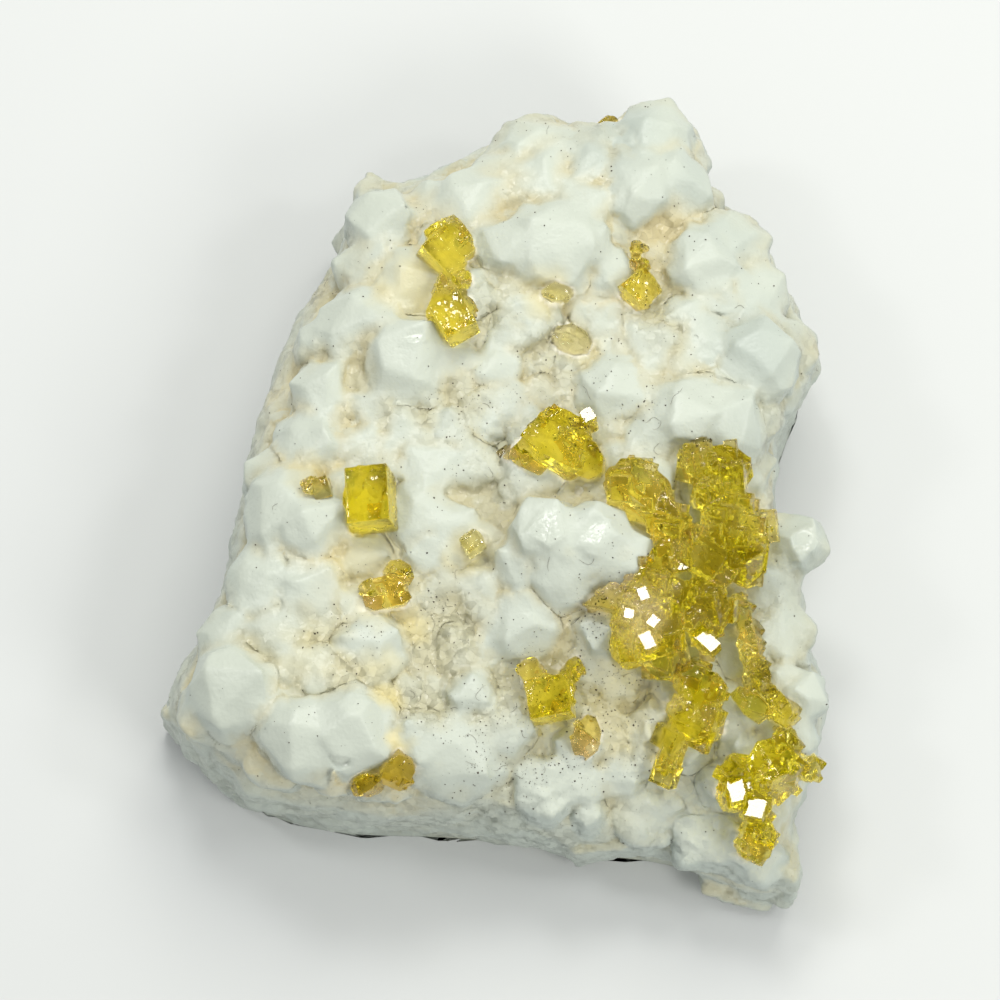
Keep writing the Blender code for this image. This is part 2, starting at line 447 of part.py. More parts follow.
def massive_calcite(grow):
    """The slab under the crystals, a loft of rings round its middle: level top, broken sides, flat back."""
    chance = random.Random(SEED)
    rings = []
    for share in TOP_RINGS:
        ring = RIM * share
        ring[:, 2] = crust(ring[:, 0], ring[:, 1]) - CRUST_DEPTH
        rings.append(ring + [[chance.uniform(-TOP_ROUGH, TOP_ROUGH) for _ in range(3)] for _ in ring])
    for share, height, rough in SIDE_RINGS:
        ring = RIM * share
        span = crust(RIM[:, 0] * 0.97, RIM[:, 1] * 0.97) - RIM[:, 2] if height > 0 else RIM[:, 2]
        ring[:, 2] = RIM[:, 2] + span * height
        rings.append(ring + [[chance.uniform(-rough, rough) for _ in range(3)] for _ in ring])
    back = RIM * BACK_SHARE + [[chance.uniform(-BACK_ROUGH, BACK_ROUGH) for _ in range(3)] for _ in RIM]
    back[:, 2] = 0.0
    rings.append(back)
    count = len(RIM)
    corners = np.vstack([[[0, 0, crust(0.0, 0.0) - CRUST_DEPTH]], *rings, [[0, 0, 0]]])
    last = len(corners) - 1
    faces = []
    for i in range(count):
        j = (i + 1) % count
        faces.append([0, 1 + j, 1 + i])
        for k in range(len(rings) - 1):
            upper, lower = 1 + k * count, 1 + (k + 1) * count
            faces.append([upper + i, upper + j, lower + j])
            faces.append([upper + i, lower + j, lower + i])
        faces.append([last, 1 + (len(rings) - 1) * count + i, 1 + (len(rings) - 1) * count + j])
    # The outline runs clockwise seen from above, so each face is turned to point outwards.
    outward = [face[::-1] for face in faces]
    if grow:
        corners[: 1 + 5 * count, 2] += grow
        spread = np.hypot(corners[:, 0], corners[:, 1])[:, None].clip(1)
        corners[1 + 3 * count :, :2] *= 1 + grow / spread[1 + 3 * count :]
    return corners, outward


def broken_sides(grow):
    """Cleavage blocks round the slab, a low row and a high row, that break its side into ledges."""
    chance = random.Random(SEED + 4)
    blocks = []
    for station in range(0, len(RIM), 2):
        point = RIM[station].copy()
        low = station % 4 == 0
        point *= [0.975, 0.975, chance.uniform(0.30, 0.42)] if low else [1, 1, chance.uniform(0.74, 0.98)]
        along = RIM[(station + 1) % len(RIM)] - RIM[station - 1]
        outward = Vector((-along[1], along[0], 0)).normalized()
        blocks.append(cleavage_block(point, outward, chance.uniform(5.5, 8.0), chance, grow))
    return blocks


def fill_rows():
    """Small crystals between the large ones, at random places kept clear of what stands there."""
    chance = random.Random(SEED + 1)
    taken = [(row[0], row[1], row[2] * 0.36) for row in CALCITES]
    rows = []
    for _ in range(FILL_DARTS):
        across, up, width = chance.uniform(-31, 31), chance.uniform(-37, 37), chance.uniform(*FILL_WIDTHS)
        spot = stand(across, up, 0)
        share = math.hypot(spot[0], spot[1]) / reach_towards(spot[0], spot[1])
        crowded = any(math.hypot(across - a, up - u) < reach + width * 0.5 for a, u, reach in taken)
        if crowded or share > 0.93 or len(rows) == FILL_COUNT:
            continue
        splay = share**3 * 0.013  # those near the edge lean outwards
        lean_across, lean_up = (splay * spot[k] + chance.uniform(-0.15, 0.15) for k in (0, 1))
        rise = width * chance.uniform(0.55, 0.85)
        rows.append((across, up, width, rise, lean_across, lean_up, chance.uniform(0, 120)))
        taken.append((across, up, width * 0.5))
    return rows


def group(name, pieces, solver="EXACT", hidden=False):
    """Joins convex pieces into one solid: the first takes the others in with a Boolean union."""
    others = bpy.data.collections.new(name + "_pieces")
    bpy.context.scene.collection.children.link(others)
    whole = mesh_object(name, *pieces[0])
    for number, piece in enumerate(pieces[1:]):
        helper = mesh_object(f"{name}_piece_{number}", *piece)
        bpy.context.scene.collection.objects.unlink(helper)
        others.objects.link(helper)
        helper.hide_render = True
        helper.display_type = "WIRE"
    if len(pieces) > 1:
        union = whole.modifiers.new("grown together", "BOOLEAN")
        union.operation = "UNION"
        union.solver = solver
        union.operand_type = "COLLECTION"
        union.collection = others
    if hidden:
        whole.hide_render = True
        whole.display_type = "WIRE"
    return whole


def calcite_slab(name, grow=0.0, hidden=False):
    """The massive calcite with all its crystals, each face pushed out by grow."""
    pieces = [massive_calcite(grow), *broken_sides(grow)]
    pieces += [calcite_crystal(row, grow) for row in CALCITES + fill_rows()]
    return group(name, pieces, hidden=hidden)


def thin_out(thing, share):
    """Merges the slivers between crystals, shortest edges first, down to this share of the triangles."""
    thinning = thing.modifiers.new("fewer slivers", "DECIMATE")
    thinning.decimate_type = "COLLAPSE"
    thinning.use_collapse_triangulate = True
    thinning.ratio = share


def bake(thing):
    """Replaces the object's mesh by the one its modifiers make, and keeps only the largest body of it."""
    graph = bpy.context.evaluated_depsgraph_get()
    made = bpy.data.meshes.new_from_object(thing.evaluated_get(graph))
    thing.modifiers.clear()
    thing.data = made
    shape = bmesh.new()
    shape.from_mesh(made)
    bodies = []
    unseen = set(shape.verts)
    while unseen:
        body, border = set(), {unseen.pop()}
        while border:
            body |= border
            border = {e.other_vert(v) for v in border for e in v.link_edges} - body
        unseen -= body
        bodies.append(body)
    bodies.sort(key=len)
    for body in bodies[:-1]:
        bmesh.ops.delete(shape, geom=list(body), context="VERTS")
    shape.to_mesh(made)
    shape.free()


def colour(thing, name, rgba, roughness, transmission):
    """Gives the object its own Principled material."""
    material = bpy.data.materials.new(name)
    material.use_nodes = True
    shader = material.node_tree.nodes["Principled BSDF"]
    shader.inputs["Base Color"].default_value = rgba
    shader.inputs["Roughness"].default_value = roughness
    shader.inputs["Metallic"].default_value = 0.0
    shader.inputs["Transmission Weight"].default_value = transmission
    material.diffuse_color = rgba
    thing.data.materials.clear()
    thing.data.materials.append(material)


def main():
    for old in list(bpy.data.objects):
        bpy.data.objects.remove(old)
    slab = calcite_slab("calcite_matrix")
    clearance = calcite_slab("calcite_clearance", grow=GAP, hidden=True)
    thin_out(slab, SLAB_THINNING)
    bake(slab)
    bake(clearance)
    for corner in slab.data.vertices:  # thinning lifts or sinks the rim of the flat back by a hair
        if corner.co.z < BACK_SLACK * MM:
            corner.co.z = 0
    nodes = [slab]
    for name, rows in BARITES.items():
        barite = group(name, [barite_crystal(row) for row in rows], solver="MANIFOLD")
        trim = barite.modifiers.new("clear of the calcite", "BOOLEAN")
        trim.operation = "DIFFERENCE"
        trim.solver = "MANIFOLD"  # EXACT leaves open edges where a crystal only grazes the calcite
        trim.object = clearance
        if len(rows) > LARGE_GROUP:
            thin_out(barite, BARITE_THINNING)
        bake(barite)
        nodes.append(barite)
    corners = np.array([v.co for node in nodes for v in node.data.vertices])
    low, high = corners.min(axis=0), corners.max(axis=0)
    shift = Matrix.Translation((-(low[0] + high[0]) / 2, -(low[1] + high[1]) / 2, -low[2]))
    for node in nodes:
        node.data.transform(shift)
    colour(slab, "milky calcite", CALCITE_COLOUR, roughness=0.45, transmission=0.0)
    for node in nodes[1:]:
        shade = SHADES.get(node.name, HONEY_COLOUR)
        colour(node, "barite of " + node.name, shade, roughness=0.12, transmission=0.8)


main()
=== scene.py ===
import json
import math
from itertools import product

import bpy
import numpy as np
import openvdb
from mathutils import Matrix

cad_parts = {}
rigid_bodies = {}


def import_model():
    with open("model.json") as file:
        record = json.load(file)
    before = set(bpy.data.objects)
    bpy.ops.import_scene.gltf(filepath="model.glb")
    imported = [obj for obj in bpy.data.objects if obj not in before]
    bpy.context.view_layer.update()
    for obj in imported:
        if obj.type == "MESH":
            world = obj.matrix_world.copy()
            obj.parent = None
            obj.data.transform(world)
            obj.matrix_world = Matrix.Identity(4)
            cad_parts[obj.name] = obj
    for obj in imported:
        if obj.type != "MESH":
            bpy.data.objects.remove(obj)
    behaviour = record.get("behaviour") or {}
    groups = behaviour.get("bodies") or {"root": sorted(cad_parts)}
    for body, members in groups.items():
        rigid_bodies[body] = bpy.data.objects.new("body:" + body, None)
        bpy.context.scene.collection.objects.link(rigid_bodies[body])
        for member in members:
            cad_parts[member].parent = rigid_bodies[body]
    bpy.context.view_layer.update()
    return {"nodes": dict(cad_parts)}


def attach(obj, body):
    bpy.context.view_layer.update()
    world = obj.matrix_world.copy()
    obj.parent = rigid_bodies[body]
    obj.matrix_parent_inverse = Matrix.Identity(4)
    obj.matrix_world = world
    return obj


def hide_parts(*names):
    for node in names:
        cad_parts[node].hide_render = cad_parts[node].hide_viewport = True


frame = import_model()
MM = 0.001

# ---------------------------------------------------------------------------
# Camera. The specimen lies on its back and is looked down on, leaning a little
# towards the viewer, with a long lens.
# ---------------------------------------------------------------------------
AIM = (0.455, -4.352, 22.0)                # mm, on the crystal face
LEAN = math.radians(18)                    # from straight down
EYE_DISTANCE = 500.0                       # mm, where lens and sensor frame 100 mm

EYE = (AIM[0], AIM[1] - EYE_DISTANCE * math.sin(LEAN), AIM[2] + EYE_DISTANCE * math.cos(LEAN))

camera_data = bpy.data.cameras.new("camera")
camera_data.lens, camera_data.sensor_width = 180, 36
camera_data.clip_start, camera_data.clip_end = 0.02, 5
camera = bpy.data.objects.new("camera", camera_data)
camera.location = [v * MM for v in EYE]
camera.rotation_euler = (LEAN, 0, 0)
bpy.context.scene.collection.objects.link(camera)
bpy.context.scene.camera = camera


# ---------------------------------------------------------------------------
# Studio: a pale table under an even dome. A wide box behind and a smaller one at
# the front right light the specimen softly. Its faces mirror three small lamps
# alone: the key lamp, high behind it, and a glint lamp on either side.
# ---------------------------------------------------------------------------
def linear(code):
    """An sRGB hex colour as the linear red, green, blue and alpha that shaders take."""
    channels = np.array([int(code[i:i + 2], 16) for i in (1, 3, 5)]) / 255
    curved = ((channels + 0.055) / 1.055) ** 2.4
    return (*np.where(channels <= 0.04045, channels / 12.92, curved), 1)


def new_material(name):
    """An empty node material of that name, as (material, its node tree)."""
    material = bpy.data.materials.new(name)
    material.use_nodes = True
    material.node_tree.nodes.clear()
    return material, material.node_tree


def add(tree, kind, settings=None, **inputs):
    """A node of that kind. settings are its own properties; inputs are its sockets,
    by name with _ for a space, each a value or another node's output to link from."""
    node = tree.nodes.new(kind)
    for name, value in (settings or {}).items():
        setattr(node, name, value)
    for name, value in inputs.items():
        key = int(name[1:]) if name[0] == "i" and name[1:].isdigit() else name.replace("_", " ")
        if isinstance(value, bpy.types.NodeSocket):
            tree.links.new(value, node.inputs[key])
        else:
            node.inputs[key].default_value = value
    return node


def soft_box(name, place, target, width, height, power, tint, glints=False):
    """A rectangular lamp at place, facing target, all in mm, of that power in watts. Only one with
    glints is mirrored by faces: the others stand for light spread too wide to show as a shape."""
    lamp = bpy.data.lights.new(name, "AREA")
    lamp.shape, lamp.size, lamp.size_y = "RECTANGLE", width * MM, height * MM
    lamp.energy, lamp.color = power, linear(tint)[:3]
    obj = bpy.data.objects.new(name, lamp)
    obj.location = [v * MM for v in place]
    away = np.subtract(place, target)
    flat = math.hypot(away[0], away[1])
    obj.rotation_euler = (math.atan2(flat, away[2]), 0, math.atan2(away[0], -away[1]) if flat else 0)
    obj.visible_glossy = glints
    bpy.context.scene.collection.objects.link(obj)


scene = bpy.context.scene
scene.view_settings.view_transform = "Standard"
scene.world = bpy.data.worlds.new("studio")
scene.world.use_nodes = True
sky = scene.world.node_tree
sky.nodes.clear()
lit = add(sky, "ShaderNodeBackground", Color=linear("#f4f6f5"), Strength=0.712)
add(sky, "ShaderNodeOutputWorld", Surface=lit.outputs[0])
scene.world.cycles_visibility.glossy = False
SPECIMEN = (0, 0, 15)                      # what the lamps face, in mm
KEY_LAMP = (-60.0, 210.0, 400.0)
soft_box("back_box", (90, 280, 360), SPECIMEN, 300, 240, 1.02, "#fffdf4")
soft_box("front_right_box", (260, -240, 300), SPECIMEN, 160, 160, 0.75, "#fffefa")
soft_box("key_lamp", KEY_LAMP, SPECIMEN, 90, 90, 0.42, "#ffffff", glints=True)
soft_box("left_glint_lamp", (-240, 60, 330), SPECIMEN, 60, 60, 0.18, "#ffffff", glints=True)
soft_box("right_glint_lamp", (250, -20, 330), SPECIMEN, 60, 60, 0.18, "#ffffff", glints=True)

TABLE_SIDE = 1600.0                        # mm
table_mesh = bpy.data.meshes.new("table")
half = TABLE_SIDE / 2 * MM
table_mesh.from_pydata([(-half, -half, 0), (half, -half, 0), (half, half, 0), (-half, half, 0)],
                       [], [(0, 1, 2, 3)])
table = bpy.data.objects.new("table", table_mesh)
scene.collection.objects.link(table)
paper, tree = new_material("matt_paper")
shader = add(tree, "ShaderNodeBsdfPrincipled", Base_Color=linear("#c8cac9"), Roughness=0.9,
             Specular_IOR_Level=0.0)
add(tree, "ShaderNodeOutputMaterial", Surface=shader.outputs["BSDF"])
table_mesh.materials.append(paper)


# ---------------------------------------------------------------------------
# Calcite matrix: one mass of crowded, milky crystals grown together on a broken
# slab of the same. Its clefts are grown shut and its edges blunted, as etched
# calcite's are, and little crystals cover its low ground.
# ---------------------------------------------------------------------------
def triangles_of(node):
    """A CAD node's points in mm, each once, and its triangles as rows of three numbers."""
    mesh = frame["nodes"][node].data
    mesh.calc_loop_triangles()
    points = np.empty(len(mesh.vertices) * 3, np.float32)
    mesh.vertices.foreach_get("co", points)
    corners = np.empty(len(mesh.loop_triangles) * 3, np.int32)
    mesh.loop_triangles.foreach_get("vertices", corners)
    points = np.round(points.reshape(-1, 3) / MM, 4)
    points, place = np.unique(points, axis=0, return_inverse=True)
    return points, place.reshape(-1)[corners].reshape(-1, 3)


def field_of(points, faces, voxel, reach):
    """The distance to a closed surface, in mm and less than nothing inside, on cubes of side voxel,
    out to reach mm from it."""
    kind = {"triangles" if faces.shape[1] == 3 else "quads": faces.astype(np.uint32)}
    return openvdb.FloatGrid.createLevelSetFromPolygons(
        points.astype(np.float32), transform=openvdb.createLinearTransform(voxelSize=voxel),
        halfWidth=reach / voxel, **kind)


def closed_skin(points, faces, voxel, cleft):
    """The surface grown outwards by cleft mm and back again, as a distance field, which fills every
    cleft narrower than twice that and leaves points and edges where they were."""
    grown = field_of(points, faces, voxel, cleft + 2 * voxel).convertToQuads(cleft)
    return field_of(*grown, voxel, cleft + 3 * voxel)


def facing_axes(place, turn):
    """Three unit vectors at place, in mm: two along a face that mirrors the key lamp to the eye,
    turned by turn radians, and its normal, halfway between the ways to the lamp and the eye."""
    ways = [np.subtract(end, place) / np.linalg.norm(np.subtract(end, place)) for end in (KEY_LAMP, EYE)]
    up = (ways[0] + ways[1]) / np.linalg.norm(ways[0] + ways[1])
    side = np.array([math.cos(turn), math.sin(turn), 0.0])
    side -= up * (side @ up)
    side /= np.linalg.norm(side)
    return np.stack([side, np.cross(up, side), up])


FACE_RISE, CLEARED = 0.5, 3.0              # mm: a mirror face over its place, and air over the face


def grid_of(field):
    """A field's values as a float32 array, and the numbers of its first cube, with 4 cubes to spare."""
    low, high = (np.array(c) for c in field.evalActiveVoxelBoundingBox())
    low, high = low - 4, high + 4
    values = np.empty(high - low + 1, np.float32)
    field.copyToArray(values, ijk=tuple(int(v) for v in low))
    return values, low


def filled(values, low, voxel, ground, level):
    """A field with everything under the height ground(x, y) filled. The fill's skin rises 0.85 as
    fast as a distance would, and stays within 1 mm inside and 2 mm outside, as a blur needs."""
    x, y, z = ((start + np.arange(n)) * voxel for start, n in zip(low, values.shape))
    over = 0.85 * (z - ground(x[:, None], y[None])[..., None])
    return np.minimum(values, np.clip(over, -1, 2) + level).astype(np.float32)


def cleared(values, low, voxel, faces):
    """A field with all that stands over the mirror faces cut away, each face given by its place,
    half-width, half-length and turn."""
    sides = [(start + np.arange(n)) * voxel for start, n in zip(low, values.shape)]
    spots = np.stack(np.meshgrid(*sides, indexing="ij"), axis=-1) if faces else None
    for place, wide, long, turn in faces:
        offset = np.abs((spots - place) @ facing_axes(place, turn).T - (0, 0, FACE_RISE + CLEARED / 2))
        values = np.maximum(values, -(offset - (wide, long, CLEARED / 2)).max(-1)).astype(np.float32)
    return values


def blunted(values, low, voxel, spread, level):
    """Points and quads of a field's surface at that level after a Gaussian blur of spread mm, which
    rounds edges and corners alike."""
    reach = int(math.ceil(2.5 * spread / voxel))
    steps = np.arange(-reach, reach + 1) * voxel
    weights = np.exp(-steps ** 2 / (2 * spread ** 2))
    weights /= weights.sum()
    for axis in range(3):
        total = np.zeros_like(values)
        for step, weight in zip(range(-reach, reach + 1), weights):
            total += weight * np.roll(values, step, axis)
        values = total
    made = openvdb.FloatGrid(background=float(values.max()))
    made.transform = openvdb.createLinearTransform(voxelSize=voxel)
    made.copyFromArray(values, ijk=tuple(int(v) for v in low))
    points, quads = made.convertToQuads(level)
    return points.astype(float), quads.astype(np.int64)


def noise(points, cell, seed):
    """Smooth noise from -1 to 1: random numbers on a cubic lattice of side cell mm, joined by a cubic
    fade along each axis."""
    spot = points / cell
    corner = np.floor(spot).astype(int)
    fade = spot - corner
    fade = fade * fade * (3 - 2 * fade)
    corner -= corner.min(0)
    values = np.random.default_rng(seed).uniform(-1, 1, corner.max(0) + 2)
    total = np.zeros(len(points))
    for step in product((0, 1), repeat=3):
        share = np.prod(np.where(step, fade, 1 - fade), axis=1)
        total += share * values[tuple((corner + step).T)]
    return total


def crowded(points, cell, seed, roundness=0.0):
    """How deep each point lies in a crowd of little crystals, as a share of cell: each cube of side
    cell mm holds one rhomb about a jittered centre, and the depth is its size less the farthest of
    three face distances, mixed with the plain distance by roundness. Where two crystals meet the
    deeper one wins, so they part in a sharp valley. The second result is a random number from 0 to 1
    that is the same all over one crystal."""
    spot = points / cell - 0.5
    corner = np.floor(spot).astype(int)
    low = corner.min(0)
    size = corner.max(0) - low + 2
    chance = np.random.default_rng(seed)
    centres = chance.uniform(0.2, 0.8, (*size, 3))
    faces = chance.normal(size=(*size, 3, 3))
    faces /= np.linalg.norm(faces, axis=-1, keepdims=True)
    faces[..., 1, :] += np.cross(faces[..., 0, :], faces[..., 2, :]) * 1.6
    faces[..., 2, :] += np.cross(faces[..., 0, :], faces[..., 1, :]) * 1.6
    faces /= np.linalg.norm(faces, axis=-1, keepdims=True)
    reach = chance.uniform(0.45, 0.95, size)
    tones = chance.random(size)
    best, tone = np.full(len(points), -9.0), np.zeros(len(points))
    for step in product((0, 1), repeat=3):
        cube = tuple((corner - low + step).T)
        offset = spot + 0.5 - (corner + step) - centres[cube]
        far = np.abs(np.einsum("nij,nj->ni", faces[cube], offset)).max(1)
        far = far * (1 - roundness) + np.linalg.norm(offset, axis=1) * roundness
        deeper = reach[cube] - far > best
        best, tone = np.where(deeper, reach[cube] - far, best), np.where(deeper, tones[cube], tone)
    return best, tone


def normals_of(points, quads):
    """Unit outward normals at the points of a quad mesh: the sum of the faces' area vectors."""
    across = np.cross(points[quads[:, 2]] - points[quads[:, 0]], points[quads[:, 3]] - points[quads[:, 1]])
    total = np.zeros_like(points)
    for corner in range(quads.shape[1]):
        for axis in range(3):
            total[:, axis] += np.bincount(quads[:, corner], across[:, axis], len(points))
    return total / np.maximum(np.linalg.norm(total, axis=1, keepdims=True), 1e-9)


def relaxed(points, quads, values, rounds):
    """values at the points, each averaged with its neighbours along the quads' sides, that many times."""
    ends = np.concatenate([quads[:, [0, 1]], quads[:, [1, 2]], quads[:, [2, 3]], quads[:, [3, 0]]])
    count = np.maximum(np.bincount(ends[:, 0], minlength=len(points)), 1)
    values = values.reshape(len(points), -1)
    for _ in range(rounds):
        values = np.stack([np.bincount(ends[:, 0], values[ends[:, 1], column], len(points)) / count
                           for column in range(values.shape[1])], axis=1)
    return values


def mesh_from(name, points, quads, attributes):
    """A smooth-shaded mesh object in metres from points in mm, with one number at each point for
    every named attribute."""
    mesh = bpy.data.meshes.new(name)
    mesh.from_pydata(points * MM, [], quads)
    mesh.polygons.foreach_set("use_smooth", np.ones(len(quads), bool))
    for key, values in attributes.items():
        layer = mesh.attributes.new(key, "FLOAT", "POINT")
        layer.data.foreach_set("value", values.astype(np.float32))
    obj = bpy.data.objects.new(name, mesh)
    bpy.context.scene.collection.objects.link(obj)
    return obj


def thinned(obj, most):
    """The object with its flattest places given larger triangles, down to most triangles."""
    mesh = obj.data
    mesh.calc_loop_triangles()
    if len(mesh.loop_triangles) > most:
        step = obj.modifiers.new("thin", "DECIMATE")
        step.ratio = most / len(mesh.loop_triangles)
        made = bpy.data.meshes.new_from_object(obj.evaluated_get(bpy.context.evaluated_depsgraph_get()))
        obj.modifiers.clear()
        obj.data = made
        made.name = obj.name
    return obj


def highest_on(points, cell, low, size):
    """A map of the highest point on each square of side cell mm, and 0 where there is none."""
    spot = np.round(points[:, :2] / cell).astype(int) - low
    land = np.zeros(size)
    inside = ((spot >= 0) & (spot < size)).all(1)
    np.maximum.at(land, tuple(spot[inside].T), points[inside, 2])
    return land


def spread_out(grid, cell, spread):
    """A map after a Gaussian blur of spread mm."""
    steps = np.arange(-int(3 * spread / cell), int(3 * spread / cell) + 1) * cell
    weights = np.exp(-steps ** 2 / (2 * spread ** 2))
    weights /= weights.sum()
    for axis in range(2):
        grid = np.apply_along_axis(np.convolve, axis, grid, weights, "same")
    return grid


def read_off(grid, low, cell, x, y):
    """The map's values at x and y in mm, each joined straight between its four nearest squares."""
    u, v = (np.clip(value / cell - start, 0, n - 1.001) for value, start, n in zip((x, y), low, grid.shape))
    u, v = np.broadcast_arrays(u, v)
    i, j = u.astype(int), v.astype(int)
    u, v = u - i, v - j
    return (grid[i, j] * (1 - u) + grid[i + 1, j] * u) * (1 - v) \
        + (grid[i, j + 1] * (1 - u) + grid[i + 1, j + 1] * u) * v


def distance_to(points, nodes, voxel, reach):
    """How far each point lies outside the named CAD nodes, in mm, or reach where it is farther."""
    least = np.full(len(points), reach)
    for node in nodes:
        field = field_of(*triangles_of(node), voxel, reach)
        low, high = (np.array(c) for c in field.evalActiveVoxelBoundingBox())
        values = np.empty(high - low + 1, np.float32)
        field.copyToArray(values, ijk=tuple(int(v) for v in low))
        spot = np.round(points / voxel).astype(int) - low
        inside = ((spot >= 0) & (spot <= high - low)).all(1)
        least[inside] = np.minimum(least[inside], values[tuple(spot[inside].T)])
    return least


def patches(points, places, ragged, cell, seed, full=1.4, slope=1.0):
    """A row for each place (x, y, z and reach in mm, and more that isn't read): how strongly each
    point lies in its patch, full at the middle less slope for each reach away, from 0 to 1. Noise
    of that cell, times ragged, is added to the distance and frays the rim."""
    fray = ragged * noise(points, cell, seed)
    rows = [full - slope * (np.linalg.norm(points - place[:3], axis=1) / place[3] + fray) for place in places]
    return np.clip(rows, 0, 1).reshape(-1, len(points))


def strongest(shares, places):
    """At each point the strongest patch's share, times that place's strength, its last number."""
    return np.max([share * place[4] for share, place in zip(shares, places)], axis=0)


def face_cut(points, place, width, length, turn, sides):
    """Moves the points within a polygon about place onto one plane that mirrors the key lamp, at their
    own middle height, and returns how far into the polygon each point lies, from 0 at its rim to 1.
    The polygon is width by length mm, turned by turn radians."""
    axes = facing_axes(place, turn)
    across, along, height = ((points - place) @ axes.T / (width / 2, length / 2, 1)).T
    angles = (np.arange(sides) + 0.2 * np.sin(np.arange(sides) * 2.3)) * 2 * math.pi / sides
    inside = 1 - np.max([across * math.cos(a) + along * math.sin(a) for a in angles], axis=0)
    share = np.clip(inside * min(width, length) / 2 / 0.35, 0, 1) * (np.abs(height) < 2.5)
    height = height - np.median(height[share > 0.5])
    points -= axes[2] * (height * share)[:, None]
    return share


CALCITE_VOXEL = 0.28
CLEFT_FILLED = 0.6                         # clefts up to twice this wide are shut
SKIN_GROWTH = 0.30                         # swallows the gap under the barites
EDGE_BLUNT = 0.18
LAND_CELL, LAND_SPREAD = 1.0, 3.5
GROUND_DEPTH, BARITE_SHOWS = 1.1, 2.0      # below the lie of the land, and below a barite's top
LARGE, SMALL, SUGAR = 4.2, 2.0, 0.95       # mm from one little crystal to the next
MOST_GROWN, MOST_WORN = 0.7, 0.6
MOST_TRIANGLES = 194000
CLEAN_FACES = (                            # x, y, z, width and length in mm, turn, and sides
    (5.2, -8.4, 26.1, 3.6, 4.0, 0.2, 5), (9.9, -8.9, 26.0, 2.2, 3.8, -0.4, 4),
    (31.1, -7.6, 19.6, 2.6, 3.2, 0.6, 5), (-15.3, -31.4, 19.0, 2.2, 2.0, 0.3, 4),
    (26.3, 22.4, 18.8, 1.4, 1.0, 0.9, 4), (-8.2, 12.5, 24.0, 2.6, 1.8, 0.3, 5),
)
FINE_GROUND = (                            # x, y, z, reach in mm, and how grey
    (-5.5, -18.0, 18.5, 4.5, 1.1), (-8.0, -25.5, 19.5, 3.5, 0.9), (1.5, -25.0, 18.0, 5.0, 0.6),
    (14.0, -26.5, 16.8, 6.0, 0.1), (18.5, -32.6, 12.0, 7.0, -0.5), (20.5, -37.6, 11.2, 6.0, -0.6),
    (6.5, 11.8, 20.0, 4.0, 0.7), (16.7, 15.2, 19.3, 3.5, 0.8), (-1.6, 17.1, 21.0, 3.0, 0.8),
    (-6.6, 4.9, 18.0, 4.5, 0.9), (-2.6, 7.0, 19.5, 3.0, 0.6), (2.0, 1.0, 20.0, 4.0, 0.5),
    (-13.0, -22.0, 19.5, 3.5, 0.5), (4.0, -36.0, 13.0, 7.0, -0.3), (-16.5, -17.7, 18.0, 3.5, 0.4),
)
GLASSY_RIMS = (                            # x, y, z, reach in mm, and strength
    (27.7, 12.5, 21.0, 5.5, 0.7), (27.5, 3.0, 18.0, 5.0, 0.5), (30.0, -12.0, 16.0, 5.0, 0.5),
    (13.0, 36.0, 18.5, 5.0, 0.8), (19.5, 31.0, 18.0, 4.5, 0.7), (23.0, 24.0, 19.0, 4.0, 0.4),
)
IRON_STAINS = (                            # x, y, z, reach in mm, and strength
    (-10.9, -24.6, 20.1, 1.6, 0.9), (-10.3, -26.8, 17.5, 1.8, 1.0), (-10.0, -29.0, 19.5, 1.6, 0.9),
    (5.3, 17.9, 22.0, 2.4, 0.5), (-18.5, -2.2, 18.6, 3.0, 0.55), (-8.5, -16.6, 19.4, 1.8, 0.55),
    (-8.0, 19.0, 21.5, 4.0, 0.4), (-2.5, -9.3, 22.0, 2.2, 0.5), (-11.0, -13.6, 21.0, 3.2, 0.45),
    (8.6, 12.4, 22.0, 2.4, 0.4), (14.5, 18.0, 22.5, 2.4, 0.35), (-12.0, -21.0, 20.0, 2.2, 0.5),
    (13.0, -25.0, 17.0, 4.5, 0.35), (-13.5, -10.3, 20.5, 3.0, 0.3), (-17.0, -20.5, 18.5, 4.0, 0.25),
)

# The ground: the lie of the land under the large crystals, let down near the rim and under barites.
skin = closed_skin(*triangles_of("calcite_matrix"), CALCITE_VOXEL, CLEFT_FILLED)
points = skin.convertToQuads(-CLEFT_FILLED)[0]
low = np.floor(points[:, :2].min(0) / LAND_CELL).astype(int) - 6
size = np.ceil(points[:, :2].max(0) / LAND_CELL).astype(int) + 7 - low
land = highest_on(points, LAND_CELL, low, size)
covered = spread_out((land > 0).astype(float), LAND_CELL, LAND_SPREAD)
land = spread_out(land, LAND_CELL, LAND_SPREAD) / np.maximum(covered, 1e-6)
ground = land - GROUND_DEPTH - 60 * np.clip(0.9 - covered, 0, 1)
barites = [name for name in frame["nodes"] if "barite" in name]
for node in barites:
    top = highest_on(field_of(*triangles_of(node), 0.5, 1.5).convertToQuads(0.7)[0], LAND_CELL, low, size)
    ground = np.where(top > 0, np.minimum(ground, top - BARITE_SHOWS), ground)
level = SKIN_GROWTH - CLEFT_FILLED
values, first = grid_of(skin)
values = filled(values, first, CALCITE_VOXEL, lambda x, y: read_off(ground, low, LAND_CELL, x, y), level)
points, quads = blunted(values, first, CALCITE_VOXEL, EDGE_BLUNT, level)
normals = normals_of(points, quads)

